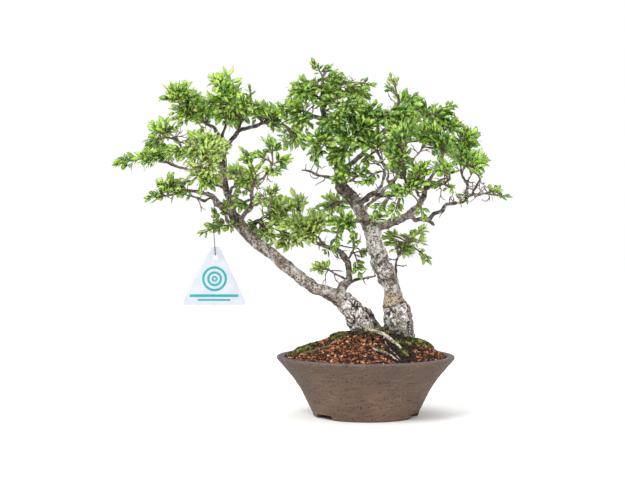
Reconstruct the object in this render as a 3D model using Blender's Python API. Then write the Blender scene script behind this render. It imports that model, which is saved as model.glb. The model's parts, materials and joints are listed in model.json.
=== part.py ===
"""Chinese elm bonsai with two leaning trunks in a round, flared stoneware pot.

Units are metres, +Z is up and the front is -Y. The lists of limbs, roots and leaf tufts are in
millimetres as a viewer at EYE sees them: x to the right of the pot's middle, height, then depth
behind the pot's middle plane. The function place() turns such a reading into a point in space.
"""
import math
import random

import bmesh
import bpy
from mathutils import Matrix, Vector, noise
from mathutils.bvhtree import BVHTree

MM = 0.001
GAP = 0.0003  # clearance between neighbouring solids
EYE = Vector((-0.060, -1.60, 0.230))  # viewer, in front of the pot's middle
LIST_ZERO = 2.0  # mm, heights in the lists count from this far below the table
SPREAD = 1.45  # the listed depths of limbs and tufts are stretched by this
POT_AT = Vector((0.0594, -0.0142, 0.0))  # puts the middle of the whole object's box over the origin

# Pot
RIM_RADIUS = 0.1005
POT_HEIGHT = 0.068
LIP_WIDTH = 0.008
FLOOR_HEIGHT = 0.014
UNDERSIDE_HEIGHT = 0.006
DRAIN_RADIUS = 0.009
FOOT_OUTER_RADIUS = 0.0585
FOOT_INNER_RADIUS = 0.0530
FOOT_TURN = math.radians(7.0)  # the front foot's middle, turned from the front towards +X
ARCH_WIDTH = 0.030
ARCH_HEIGHT = 0.0055
POT_SEGMENTS = 32
OUTER_WALL = [(0.0608, 0.0055), (0.0665, 0.0170), (0.0730, 0.0300), (0.0820, 0.0435),
              (0.0930, 0.0565), (0.1000, 0.0645)]  # (radius, height)
INNER_WALL = [(FLOOR_HEIGHT, 0.0500), (0.0230, 0.0590), (0.0370, 0.0680), (0.0530, 0.0805),
              (POT_HEIGHT, 0.0925)]  # (height, radius)

# Soil
SOIL_EDGE_HEIGHT = 0.0660
SOIL_RISE = 0.0380
SOIL_SLOPE = 1.21
MOUND_CENTRE = Vector((0.012, 0.005))
SOIL_RINGS = 5
SOIL_SEGMENTS = 24
SOIL_LUMP = 0.0010
NET_SIDE = 0.024
NET_HOLES = 3
NET_THICKNESS = 0.0010

# Tag: a tall triangle with its top cut off, hung on a bent wire
TAG_FOOT_WIDTH = 0.0730  # before its corners are rounded
TAG_TOP_WIDTH = 0.0086
TAG_HEIGHT = 0.0643
TAG_THICKNESS = 0.0012
TAG_LEAN = 0.0015  # its top sits this far to the right of its foot's middle
TAG_BOTTOM = (-171.3, 126.9)  # mm, middle of its lower edge as seen from the front
TAG_CORNER = 0.0055
TAG_TOP_CORNER = 0.0025
TAG_HOLE_RADIUS = 0.0032
TAG_HOLE_HEIGHT = 0.0523
WIRE_RADIUS = 0.0004
LOOP_SLACK = 2.0  # the loop's radius over the slanting branch's own
SMALL_HOOK = 0.0017

# Leaves
BLADE_LENGTH = 0.0150
BLADE_WIDTH = 0.0080
BLADE_THICKNESS = 0.00070
BLADE_STATIONS = [(0.36, 1.0, 0.10), (0.72, 0.80, 0.09), (1.0, 0.0, -0.01)]  # (length, width, rise)
BLADE_ROOT = (0.08, 0.24, 0.02)
LEAF_STRETCH = 0.0028  # the last stretch of a twig, which bears the leaves
CROWN_AXES = (Vector((-0.165, 0.0)), Vector((-0.005, 0.0)))  # middles of the left and right crowns
LEAF_ANGLE = math.radians(58.0)
ANGLE_STRAY = 0.25  # radians by which a leaf's angle differs from it
TIP_STRAY = 0.3  # share by which the tip's leaf leans aside
FACE_UP = 0.80  # a leaf's face looks up and out of the crown: shares of both, then of chance
FACE_OUT = 0.60
FACE_STRAY = 0.5
LEAF_RISE = (-0.05, 0.25)  # least and greatest lift of a leaf's tip
LEAF_SIZES = (0.86, 1.06)
LEAF_SEAT = 0.6  # where a leaf's root stands, over the twig's radius
LEAF_TRIES = 24
TWIG_RADIUS = 0.0009
TWIG_SWELL = 1.25  # over the radius at a twig's root
TWIG_TAPER = 0.40  # and how much of it goes on the way to the tip
TWIG_BOW = 0.32  # share of a twig's reach that it keeps to the limb's heading
TWIG_LEAD = 0.18  # and that it turns to its own tip
FORK_AT = 0.85  # share of the first twig's stem where the second leaves it
FORK_STEP = 0.35  # and how much nearer the limb the third does
FORK_EASE = 0.4  # how much a fork keeps to the limb's heading
WOOD_REACH = 0.02  # farther from the wood's surface, a point is never within it
SEED = 17

# Limb name: (parent, where it leaves the parent (x, height), [(x, height, depth, radius), ...])
LIMBS = {
    "right_trunk": (None, None, [
        (37, 72, 7, 15), (38, 92, 6, 17.5), (37.5, 105, 4, 16.5), (36.5, 116, 2, 16),
        (35, 123, 0, 14.5), (32.5, 131, -2, 12), (31, 140, -4, 10.3), (27, 151, -6, 9.2),
        (21, 165, -7, 9.9), (17.5, 180, -7, 9.5), (11, 195, -5, 9.2), (6, 210, -2, 9.4),
        (2, 221, 1, 7.8), (-4.5, 231, 4, 7), (-11, 240, 7, 7), (-19, 251, 10, 7.3),
        (-27, 262, 12, 7), (-30, 276, 12, 5.5), (-33, 290, 10, 5), (-40, 310, 6, 4.5),
        (-45, 330, 2, 4), (-48, 350, 0, 3.3), (-49, 370, -1, 2.4), (-48, 382, 1, 1.4)]),
    "left_trunk": (None, None, [
        (1, 74, 2, 11), (-3, 97, 0, 12.2), (-10, 112, -3, 12.5), (-18, 124, -5, 11.5),
        (-28, 134, -8, 10), (-40, 140.5, -10, 8), (-50, 143, -12, 6.8), (-60, 148, -13, 7),
        (-70, 155, -14, 6.6), (-80, 163.5, -14, 6.5), (-90, 171.5, -14, 7), (-100, 180, -13, 6.5),
        (-110, 188, -11, 6.5), (-120, 195, -9, 6.6), (-130, 204, -6, 6.8), (-138, 212, -4, 7),
        (-144, 221, -2, 7), (-150, 229, 0, 5.6)]),
    "root_crown": ("left_trunk", (-3, 93), [(12, 91, 4, 10), (36, 91, 6, 11)]),
    "back_root": ("left_trunk", (-6, 121), [
        (0, 121, 4, 3.6), (8, 112, 10, 3.2), (15, 101, 14, 3.4), (18, 93, 12, 3)]),
    "middle_trunk": ("left_trunk", (-27, 135), [
        (-25.5, 147, 0, 5), (-20, 155, 4, 3.6), (-18.5, 166, 8, 3.2), (-20, 176, 12, 3.1),
        (-26, 184, 16, 2.9), (-34, 190, 19, 2.7), (-46, 193, 22, 2.5), (-57, 197, 24, 2.3),
        (-66, 202, 26, 2.1), (-76, 204.5, 27, 1.9), (-89, 207.5, 28, 1.4)]),
    "middle_arm": ("middle_trunk", (-20, 153), [
        (-10, 155, 0, 1.9), (0, 158, -4, 1.7), (8, 159.5, -8, 1.3)]),
    "middle_low": ("middle_trunk", (-20, 155), [
        (-28, 159, -2, 1.5), (-37, 163, -6, 1.3), (-43, 166, -10, 1.1)]),
    "middle_up": ("middle_trunk", (-20, 176), [(-16, 185, 2, 1.4), (-14, 191, -5, 1.1)]),
    "middle_front": ("middle_trunk", (-46, 193), [
        (-52, 200, 10, 1.6), (-56, 206, -2, 1.3), (-58, 210, -10, 1.1)]),
    "middle_back": ("middle_trunk", (-66, 202), [(-71, 211, 38, 1.5), (-76, 220, 46, 1.1)]),

    "left_rise": ("left_trunk", (-149, 227), [
        (-152, 245, 2, 4.6), (-158, 258, 3, 4.2), (-160, 268, 4, 4), (-160, 280, 4, 3.6),
        (-160, 292, 4, 3.3), (-158, 305, 5, 2.9)]),
    "left_top_right": ("left_rise", (-158, 304), [
        (-151, 314, 9, 2.6), (-140, 324, 14, 2.4), (-130, 328, 18, 2.2), (-118, 331, 22, 2),
        (-106, 332, 24, 1.6), (-94, 331, 26, 1.2)]),
    "left_top_left": ("left_rise", (-158, 304), [
        (-163, 317, 0, 2.5), (-170, 325, -5, 2.2), (-180, 331, -11, 2), (-190, 334, -16, 1.7),
        (-197, 337, -20, 1.3)]),
    "left_top_middle": ("left_top_left", (-162, 315), [
        (-158, 332, 8, 1.9), (-157, 347, 10, 1.6), (-159, 364, 12, 1.2)]),
    "left_top_front": ("left_top_right", (-146, 319), [
        (-139, 334, 4, 1.7), (-134, 344, 0, 1.4), (-130, 350, -4, 1.2)]),
    "left_low": ("left_trunk", (-149, 227), [
        (-160, 235, -12, 3.7), (-167, 239, -16, 3.2), (-173, 246, -20, 2.9), (-179, 252, -22, 2.5)]),
    "left_low_front": ("left_low", (-174, 247), [
        (-183, 245, -30, 1.8), (-190, 247.5, -35, 1.4), (-197, 250, -39, 1.2)]),
    "left_low_out": ("left_low", (-178, 251), [
        (-190, 256, -26, 2.2), (-203, 256, -30, 2), (-215, 253, -34, 1.6), (-228, 250, -38, 1.2)]),
    "left_middle_out": ("left_rise", (-160, 270), [
        (-175, 274, 4, 2.3), (-195, 280, 10, 2), (-210, 282, 14, 1.8), (-228, 288, 18, 1.5),
        (-242, 291, 20, 1.2)]),
    "left_high_out": ("left_rise", (-160, 290), [
        (-170, 297, 14, 2), (-185, 304, 22, 1.8), (-205, 310, 30, 1.6), (-217, 314, 34, 1.4),
        (-226, 317, 37, 1.2)]),
    "left_middle_front": ("left_rise", (-157, 256), [
        (-168, 264, -18, 2), (-177, 271, -32, 1.7), (-184, 278, -44, 1.4), (-188, 282, -50, 1.2)]),
    "left_high_front": ("left_rise", (-160, 284), [
        (-170, 295, -14, 1.8), (-178, 302, -26, 1.4), (-183, 306, -33, 1.2)]),
    "left_inner_back": ("left_rise", (-156, 253), [
        (-148, 261, 20, 2.1), (-142, 267, 40, 1.7), (-139, 271, 56, 1.2)]),
    "left_outer_back": ("left_rise", (-160, 278), [
        (-167, 289, 22, 1.9), (-176, 299, 42, 1.6), (-181, 305, 54, 1.2)]),
    "left_inner": ("left_trunk", (-142, 218), [
        (-137, 229, -14, 2.9), (-132, 237, -20, 2.6), (-129, 249, -26, 2.3), (-127, 261, -30, 1.9),
        (-124, 270, -33, 1.3)]),
    "left_inner_high": ("left_inner", (-127, 261), [
        (-115, 273, -40, 1.6), (-108, 280, -46, 1.4), (-105, 287, -50, 1.2)]),
    "left_inner_front": ("left_inner", (-131, 239), [
        (-120, 242, -36, 1.7), (-112, 244, -45, 1.4), (-106, 248, -51, 1.2)]),
    "left_inner_low": ("left_trunk", (-130, 204), [
        (-127, 214, 2, 2.2), (-122, 222, 8, 1.9), (-114, 227, 14, 1.6), (-107, 229, 18, 1.2)]),
    "left_under": ("left_trunk", (-140, 214), [
        (-149, 216, -9, 1.9), (-156, 217, -7, 1.5), (-162, 216, -5, 1.2)]),

    "right_arm": ("right_trunk", (6, 211), [
        (20, 216, -4, 4.4), (30, 219, -7, 4.1), (40, 224, -10, 3.8), (50, 230, -13, 3.4),
        (57, 236, -16, 3.1), (63, 246, -18, 2.8), (67, 255, -20, 2.5), (69, 262, -22, 2.2)]),
    "right_arm_front": ("right_arm", (67, 257), [
        (80, 263, -33, 1.8), (90, 266, -41, 1.5), (96, 271, -46, 1.2)]),
    "right_arm_up": ("right_arm", (69, 261), [
        (75, 273, -24, 1.9), (83, 283, -28, 1.6), (87, 291, -30, 1.2)]),
    "right_arm_inner": ("right_arm", (62, 245), [(58, 254, -32, 1.6), (56, 262, -41, 1.2)]),
    "right_reach": ("right_arm", (39, 223), [
        (48, 226, -4, 3), (58, 224, 2, 2.7), (70, 223, 6, 2.6), (80, 229, 9, 2.5),
        (88, 236, 11, 2.3), (96, 241, 13, 2.2), (105, 241, 15, 2), (113, 246, 17, 1.8),
        (122, 251, 20, 1.6), (133, 252.5, 23, 1.4), (142, 251.5, 25, 1.2)]),
    "right_stub": ("right_reach", (70, 223), [(75, 221, 3, 2), (78, 217, 1, 1.5)]),
    "right_reach_back": ("right_reach", (113, 246), [
        (114, 256, 26, 1.7), (116, 267, 34, 1.4), (119, 274, 38, 1.2)]),
    "right_reach_front": ("right_reach", (120, 250), [(125, 262, 12, 1.5), (130, 271, 7, 1.2)]),
    "right_reach_high": ("right_reach_back", (114, 262), [(109, 275, 44, 1.5), (106, 286, 51, 1.2)]),
    "right_front": ("right_trunk", (-9, 238), [
        (2, 248, -8, 3.2), (12, 253, -16, 3), (24, 252, -24, 2.7), (37, 252, -31, 2.3), (49, 254, -37, 1.4)]),
    "right_front_up": ("right_front", (10, 252), [
        (18, 264, -22, 2), (22, 278, -26, 1.8), (18, 291, -28, 1.5), (12, 300, -30, 1.2)]),
    "right_front_middle": ("right_front", (29, 252), [
        (33, 267, -40, 1.7), (40, 279, -47, 1.4), (41, 286, -50, 1.2)]),
    "right_shoulder": ("right_trunk", (-29, 270), [
        (-18, 284, 10, 3.2), (-4, 298, 18, 2.8), (10, 312, 26, 2.5), (24, 328, 32, 2.1),
        (33, 344, 36, 1.7), (37, 356, 38, 1.4), (35, 366, 39, 1.2)]),
    "right_shoulder_out": ("right_shoulder", (18, 321), [
        (38, 328, 40, 1.8), (58, 338, 46, 1.6), (74, 344, 50, 1.4), (83, 347, 51, 1.2)]),
    "right_shoulder_low": ("right_shoulder", (4, 306), [
        (28, 308, 34, 1.9), (52, 312, 44, 1.7), (74, 318, 52, 1.4), (87, 323, 55, 1.2)]),
    "right_shoulder_front": ("right_shoulder", (-4, 298), [
        (0, 317, 4, 1.7), (4, 330, -8, 1.4), (7, 339, -15, 1.2)]),
    "right_back": ("right_trunk", (-5, 232), [
        (10, 246, 24, 2.6), (26, 262, 42, 2.3), (42, 278, 58, 2), (55, 292, 69, 1.6), (63, 304, 75, 1.2)]),
    "right_back_inner": ("right_back", (26, 262), [
        (24, 279, 60, 1.7), (17, 294, 72, 1.4), (12, 302, 76, 1.2)]),
    "top_left_front": ("right_trunk", (-46, 335), [
        (-58, 340, -12, 1.9), (-66, 344, -18, 1.5), (-71, 346, -21, 1.2)]),
    "top_left_low": ("right_trunk", (-40, 311), [(-49, 309, -16, 1.8), (-56, 309, -30, 1.2)]),
    "top_left_high": ("right_trunk", (-49, 356), [(-59, 365, -10, 1.6), (-68, 372, -15, 1.2)]),
    "top_front": ("right_trunk", (-47, 344), [(-37, 351, -14, 1.6), (-29, 356, -22, 1.2)]),
    "top_back": ("right_trunk", (-49, 362), [
        (-38, 370, 14, 1.6), (-27, 376, 24, 1.3), (-20, 378, 28, 1.1)]),
    "top_right_front": ("right_trunk", (-36, 299), [(-24, 305, -15, 1.7), (-15, 312, -25, 1.2)]),
    "right_low": ("right_trunk", (31.5, 136), [
        (35, 148, 12, 1.9), (35.5, 160, 17, 1.8), (35, 174, 21, 1.6), (38, 187, 27, 1.4), (45, 197, 30, 1.3)]),
    "inner_front": ("right_trunk", (1, 222), [
        (-11, 222, -14, 1.9), (-20, 220, -21, 1.5), (-26, 218, -25, 1.2)]),
    "inner_back": ("right_trunk", (-11, 241), [
        (-22, 243, 14, 1.8), (-33, 242, 25, 1.4), (-41, 239, 32, 1.2)]),
    "inner_short": ("right_trunk", (2, 221), [(6, 225, -14, 1.4), (9, 226, -19, 1.1)]),
    "inner_high": ("right_trunk", (-26, 261), [
        (-18, 268, -15, 1.8), (-9, 272, -26, 1.5), (-3, 275, -32, 1.2)]),
    "bare_twig": ("right_trunk", (-29, 268), [
        (-40, 270, -1, 2), (-52, 273.5, -5, 1.6), (-62, 277.5, -8, 1.4), (-73, 279.5, -11, 0.9)]),
    "bare_twig_fork": ("bare_twig", (-55, 275), [(-53.5, 284, -9, 1.1), (-55, 291, -12, 0.8)]),
}

# Surface roots, which lie a little sunk in the soil:
# (limb that they leave, its point, [(x, height, radius), ...] as seen from the front)
ROOTS = {
    "root_long": ("left_trunk", 1, [(6, 97, 3.2), (12, 95, 3), (20, 91, 2.8), (30, 86, 2.6), (39, 80, 2)]),
    "root_front": ("root_crown", 1, [(18, 88, 2), (24, 82, 1.7), (29, 76, 1.5), (34, 68, 1.2)]),
    "root_low": ("root_crown", 1, [
        (8, 86, 2.2), (10, 77, 2.2), (19, 69, 2.4), (28, 65, 2.2), (36, 61, 1.5)]),
    "root_left": ("left_trunk", 1, [(-16, 90, 2.6), (-27, 87, 2.2), (-38, 84, 1.9), (-50, 80, 1.4)]),
}

# Limb that carries the leafy branch: [(x, height, depth, number of leaves) of each tuft, ...]
LEAFY_BRANCHES = {
    "left_top_right": [(-80, 313, 30, 4), (-101, 344, 22, 3)],
    "left_top_left": [(-210, 340, -28, 4), (-214, 367, -34, 3), (-193, 362, -26, 2)],
    "left_top_middle": [(-163, 376, 12, 4), (-146, 371, 5, 3), (-175, 355, 2, 2)],
    "left_top_front": [(-130, 365, -10, 3), (-143, 352, -14, 3), (-118, 349, -5, 2)],
    "left_low_front": [(-207, 248, -46, 3)],
    "left_low_out": [(-245, 248, -42, 4), (-223, 264, -46, 3)],
    "left_middle_out": [(-269, 290, 24, 4), (-241, 293, 8, 3)],
    "left_high_out": [(-240, 326, 42, 3), (-236, 308, 34, 3)],
    "left_middle_front": [(-178, 281, -54, 4), (-203, 294, -56, 3)],
    "left_high_front": [(-180, 312, -38, 4), (-203, 308, -36, 3)],
    "left_inner_back": [(-135, 265, 66, 3), (-148, 281, 70, 3)],
    "left_outer_back": [(-184, 318, 62, 3), (-197, 304, 66, 3)],
    "left_inner": [(-131, 280, -37, 3), (-145, 262, -33, 3)],
    "left_inner_high": [(-125, 295, -50, 4), (-93, 289, -56, 3), (-102, 314, -50, 2)],
    "left_inner_front": [(-100, 257, -56, 4), (-118, 253, -60, 3)],
    "left_inner_low": [(-91, 235, 10, 3), (-111, 211, 10, 3)],
    "left_under": [(-176, 212, 0, 3)],
    "middle_trunk": [(-95, 199, 24, 4), (-101, 222, 30, 3)],
    "middle_low": [(-54, 170, -13, 3)],
    "middle_up": [(-9, 195, -12, 3)],
    "middle_front": [(-62, 212, -16, 4), (-81, 223, -26, 3)],
    "middle_back": [(-78, 244, 50, 3)],
    "right_arm_front": [(90, 282, -51, 4), (102, 262, -47, 3)],
    "right_arm_up": [(86, 311, -34, 4), (68, 320, -31, 3)],
    "right_arm_inner": [(61, 280, -48, 4)],
    "right_reach": [(151, 254, 27, 4)],
    "right_reach_back": [(130, 292, 42, 4)],
    "right_reach_front": [(137, 282, 2, 3)],
    "right_reach_high": [(105, 300, 56, 3), (120, 315, 52, 3)],
    "right_front": [(59, 242, -44, 3), (39, 240, -47, 3)],
    "right_front_up": [(9, 316, -34, 4), (1, 286, -39, 3)],
    "right_front_middle": [(37, 299, -56, 4), (50, 309, -52, 3)],
    "right_shoulder": [(30, 381, 40, 3), (46, 363, 34, 3)],
    "right_shoulder_out": [(95, 348, 52, 3), (67, 358, 48, 3)],
    "right_shoulder_low": [(101, 325, 60, 3), (74, 335, 62, 3)],
    "right_shoulder_front": [(9, 350, -20, 4), (26, 336, -26, 3)],
    "right_back": [(67, 318, 80, 3), (83, 296, 78, 3)],
    "right_back_inner": [(4, 314, 82, 3), (32, 307, 78, 3)],
    "top_left_front": [(-89, 350, -24, 4), (-72, 334, -24, 3)],
    "top_left_low": [(-53, 316, -40, 4), (-64, 297, -36, 3)],
    "top_left_high": [(-79, 377, -18, 4), (-70, 358, -24, 3)],
    "top_front": [(-16, 353, -28, 4), (-35, 338, -30, 3)],
    "top_back": [(-7, 369, 32, 3), (-33, 384, 24, 3)],
    "right_trunk": [(-60, 399, 0, 4), (-42, 395, 5, 3)],
    "top_right_front": [(-9, 326, -30, 4), (-32, 320, -36, 3), (-13, 300, -34, 2)],
    "right_low": [(58, 208, 33, 3), (68, 190, 22, 3), (42, 210, 44, 2)],
    "inner_front": [(-33, 221, -30, 4), (-38, 199, -28, 3)],
    "inner_back": [(-35, 247, 32, 3), (-57, 230, 38, 3)],
    "inner_short": [(14, 230, -24, 3)],
    "inner_high": [(-22, 278, -34, 4), (4, 278, -38, 3)],
}

# Moss pads: (x, height, half width, half depth, half thickness) in mm, as seen from the front
MOSS = {
    "moss_left": (-69, 76, 16, 14, 3.0),
    "moss_middle": (-31, 91, 13, 10, 3.0),
    "moss_right": (66, 82, 10, 12, 3.0),
}

STONEWARE = ("stoneware", (0.170, 0.118, 0.085), 0.80)
SOIL_GRAIN = ("soil_grain", (0.190, 0.055, 0.025), 0.95)
NET_PLASTIC = ("net_plastic", (0.020, 0.030, 0.022), 0.60)
BARK = ("bark", (0.300, 0.265, 0.235), 0.90)
LEAF_LIME = ("leaf_lime", (0.230, 0.420, 0.060), 0.45)
LEAF_GREEN = ("leaf_green", (0.120, 0.300, 0.070), 0.45)
MOSS_GREEN = ("moss_green", (0.160, 0.200, 0.030), 0.95)
TAG_PLASTIC = ("tag_plastic", (0.780, 0.800, 0.830), 0.35)
HOOK_WIRE = ("hook_wire", (0.100, 0.100, 0.110), 0.40)


def clear_scene():
    for old in list(bpy.data.objects):
        bpy.data.objects.remove(old)


def material(finish):
    """Principled material from (name, colour, roughness), made once."""
    name, colour, roughness = finish
    made = bpy.data.materials.get(name)
    if made:
        return made
    made = bpy.data.materials.new(name)
    made.use_nodes = True
    shader = made.node_tree.nodes["Principled BSDF"]
    shader.inputs["Base Color"].default_value = (*colour, 1.0)
    shader.inputs["Roughness"].default_value = roughness
    shader.inputs["Metallic"].default_value = 0.0
    made.diffuse_color = (*colour, 1.0)
    return made


def add_object(name, mesh, finish, parent):
    """Named object for a finished mesh, parented to the pot's place and shaded smooth."""
    mesh.materials.clear()
    mesh.materials.append(material(finish))
    mesh.shade_smooth()
    mesh.set_sharp_from_angle(angle=math.radians(35.0))
    made = bpy.data.objects.new(name, mesh)
    bpy.context.scene.collection.objects.link(made)
    made.parent = parent
    return made


def mesh_from(name, shape):
    mesh = bpy.data.meshes.new(name)
    shape.to_mesh(mesh)
    shape.free()
    return mesh


def place(x, height, depth):
    """Point that a viewer at EYE sees at (x, height), the given depth behind the pot's middle."""
    seen = Vector((x * MM, 0.0, (height - LIST_ZERO) * MM))
    return EYE + (seen - EYE) * (1.0 - depth * MM / EYE.y)


def tube(name, path, resolution):
    """Closed tube mesh along [(point, radius), ...], with 4 + 2 * resolution sides."""
    curve = bpy.data.curves.new(name, "CURVE")
    curve.dimensions = "3D"
    curve.bevel_depth = 1.0
    curve.bevel_resolution = resolution
    curve.use_fill_caps = True
    line = curve.splines.new("POLY")
    line.points.add(len(path) - 1)
    for spot, (point, radius) in zip(line.points, path):
        spot.co = (*point, 1.0)
        spot.radius = radius
    holder = bpy.data.objects.new(name, curve)
    bpy.context.scene.collection.objects.link(holder)
    bpy.context.view_layer.update()
    graph = bpy.context.evaluated_depsgraph_get()
    mesh = bpy.data.meshes.new_from_object(holder.evaluated_get(graph))
    bpy.data.objects.remove(holder)
    shape = bmesh.new()
    shape.from_mesh(mesh)
    bmesh.ops.remove_doubles(shape, verts=shape.verts, dist=1e-6)
    shape.to_mesh(mesh)
    shape.free()
    return mesh


def combine(base, others, operation):
    """New mesh: the base mesh with all the other meshes joined to it or cut from it at once."""
    tools = bpy.data.collections.new("boolean_tools")
    bpy.context.scene.collection.children.link(tools)
    holders = []
    for number, (mesh, matrix) in enumerate(others):
        holder = bpy.data.objects.new(f"boolean_tool_{number}", mesh)
        holder.matrix_world = matrix
        tools.objects.link(holder)
        holders.append(holder)
    body = bpy.data.objects.new("boolean_base", base)
    bpy.context.scene.collection.objects.link(body)
    joiner = body.modifiers.new("join", "BOOLEAN")
    joiner.operation = operation
    joiner.operand_type = "COLLECTION"
    joiner.collection = tools
    joiner.solver = "MANIFOLD"
    bpy.context.view_layer.update()
    graph = bpy.context.evaluated_depsgraph_get()
    made = bpy.data.meshes.new_from_object(body.evaluated_get(graph))
    for holder in holders + [body]:
        bpy.data.objects.remove(holder)
    bpy.data.collections.remove(tools)
    return made


def in_place(meshes):
    return [(mesh, Matrix.Identity(4)) for mesh in meshes]


def inner_radius(height):
    """Radius of the pot's inner wall at a height between its floor and its rim."""
    for (low, small), (high, large) in zip(INNER_WALL, INNER_WALL[1:]):
        if height <= high:
            return small + (large - small) * (height - low) / (high - low)
    return INNER_WALL[-1][1]


def turned(profile, segments):
    """Closed mesh turned from a closed ring of (radius, height) points."""
    shape = bmesh.new()
    ring = [shape.verts.new((radius, 0.0, height)) for radius, height in profile]
    edges = [shape.edges.new((a, b)) for a, b in zip(ring, ring[1:] + ring[:1])]
    bmesh.ops.spin(shape, geom=ring + edges, cent=(0, 0, 0), axis=(0, 0, 1), dvec=(0, 0, 0),
                   angle=math.tau, steps=segments, use_merge=True, use_duplicate=False)
    bmesh.ops.remove_doubles(shape, verts=shape.verts, dist=1e-6)
    bmesh.ops.recalc_face_normals(shape, faces=shape.faces)
    return mesh_from("turned", shape)


def make_pot(parent):
    """Flared wall with a flat lip, a floor with a drainage hole, and a foot ring cut into three feet."""
    lip_inner = RIM_RADIUS - LIP_WIDTH
    foot = [(FOOT_INNER_RADIUS - 0.002, UNDERSIDE_HEIGHT), (FOOT_INNER_RADIUS, 0.0), (FOOT_OUTER_RADIUS, 0.0)]
    lip = [(RIM_RADIUS, 0.0665), (RIM_RADIUS - 0.0012, POT_HEIGHT), (lip_inner, POT_HEIGHT)]
    inner = [(radius, height) for height, radius in reversed(INNER_WALL[:-1])]
    drain = [(DRAIN_RADIUS, FLOOR_HEIGHT), (DRAIN_RADIUS, UNDERSIDE_HEIGHT)]
    body = turned(foot + OUTER_WALL + lip + inner + drain, POT_SEGMENTS)
    cutters = []
    for number in range(3):
        shape = bmesh.new()
        bmesh.ops.create_cube(shape, size=1.0)
        bmesh.ops.scale(shape, verts=shape.verts, vec=(0.030, ARCH_WIDTH, 2.0 * ARCH_HEIGHT))
        top_edges = [edge for edge in shape.edges if all(vert.co.z > 0.0 for vert in edge.verts)]
        top_corners = [edge for edge in top_edges if abs(edge.verts[0].co.y - edge.verts[1].co.y) < 1e-6]
        bmesh.ops.bevel(shape, geom=top_corners, offset=0.0042, segments=3, profile=0.5, affect="EDGES")
        bmesh.ops.translate(shape, verts=shape.verts, vec=(FOOT_OUTER_RADIUS, 0.0, 0.0))
        turn = Matrix.Rotation(-math.pi / 2.0 + FOOT_TURN + math.pi / 3.0 + number * math.tau / 3.0, 3, "Z")
        bmesh.ops.rotate(shape, verts=shape.verts, cent=(0, 0, 0), matrix=turn)
        cutters.append(mesh_from("foot_arch", shape))
    return add_object("pot", combine(body, in_place(cutters), "DIFFERENCE"), STONEWARE, parent)


def soil_height(x, y):
    """Top of the soil: a mound round the trunks that falls to just under the pot's rim."""
    wall = inner_radius(SOIL_EDGE_HEIGHT)
    out = Vector((x, y)) - MOUND_CENTRE
    away = out.length
    if away > 0.0:
        heading = out / away
        across = MOUND_CENTRE.dot(heading)
        reach = math.sqrt(across ** 2 + wall ** 2 - MOUND_CENTRE.length_squared) - across
    else:
        reach = wall
    share = min(1.0, away / reach)
    rise = SOIL_RISE * math.tanh(SOIL_SLOPE * (1.0 - share))
    lump = noise.noise(Vector((x, y, 0.0)) * 70.0) * SOIL_LUMP * 2.0
    return SOIL_EDGE_HEIGHT + rise + lump * (1.0 - share)


def on_soil(x, height):
    """First point on the soil that a viewer at EYE sees at (x, height)."""
    for half_mm in range(-188, 180):
        point = place(x, height, half_mm / 2.0)
        if point.z <= soil_height(point.x, point.y):
            return point
    raise ValueError(f"no soil is seen at {x}, {height}")


def soil_body():
    """Solid filling of the pot: floor, side along the pot's inner wall, and the mound's rings."""
    shape = bmesh.new()
    heights = [FLOOR_HEIGHT + GAP] + [height for height, _ in INNER_WALL[1:-1]] + [SOIL_EDGE_HEIGHT]
    loops = []
    for number, height in enumerate(heights):
        radius = inner_radius(height) - GAP * 1.6
        made = bmesh.ops.create_circle(shape, segments=SOIL_SEGMENTS, radius=radius, cap_ends=number == 0,
                                       matrix=Matrix.Translation((0, 0, height)))
        loops.append(made["verts"])
    edge = inner_radius(SOIL_EDGE_HEIGHT) - GAP * 1.6
    for ring in range(1, SOIL_RINGS + 1):
        share = 1.0 - ring / (SOIL_RINGS + 0.5)
        made = bmesh.ops.create_circle(shape, segments=SOIL_SEGMENTS, radius=edge * share,
                                       cap_ends=ring == SOIL_RINGS)
        for vert in made["verts"]:
            vert.co.z = soil_height(vert.co.x, vert.co.y)
        loops.append(made["verts"])
    for low, high in zip(loops, loops[1:]):
        for a, b, c, d in zip(low, low[1:] + low[:1], high[1:] + high[:1], high):
            shape.faces.new((a, b, c, d))
    bmesh.ops.triangulate(shape, faces=[f for f in shape.faces if len(f.verts) > 3])
    bmesh.ops.recalc_face_normals(shape, faces=shape.faces)
    return mesh_from("soil_body", shape)


def box(size, centre):
    shape = bmesh.new()
    bmesh.ops.create_cube(shape, size=1.0)
    bmesh.ops.scale(shape, verts=shape.verts, vec=size)
    bmesh.ops.translate(shape, verts=shape.verts, vec=centre)
    return mesh_from("box", shape)


def make_net(parent):
    """Plastic net over the drainage hole, which keeps the grains in."""
    pitch = NET_SIDE / NET_HOLES
    low = FLOOR_HEIGHT + GAP
    sheet = box((NET_SIDE, NET_SIDE, NET_THICKNESS), (0.0, 0.0, low + NET_THICKNESS / 2.0))
    holes = []
    for across in range(NET_HOLES):
        for along in range(NET_HOLES):
            at = Vector(((across + 0.5) * pitch, (along + 0.5) * pitch)) - Vector((NET_SIDE, NET_SIDE)) / 2.0
            holes.append(box((pitch - 0.0016, pitch - 0.0016, 0.004), (at.x, at.y, low)))
    return add_object("drainage_mesh", combine(sheet, in_place(holes), "DIFFERENCE"), NET_PLASTIC, parent)


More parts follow.
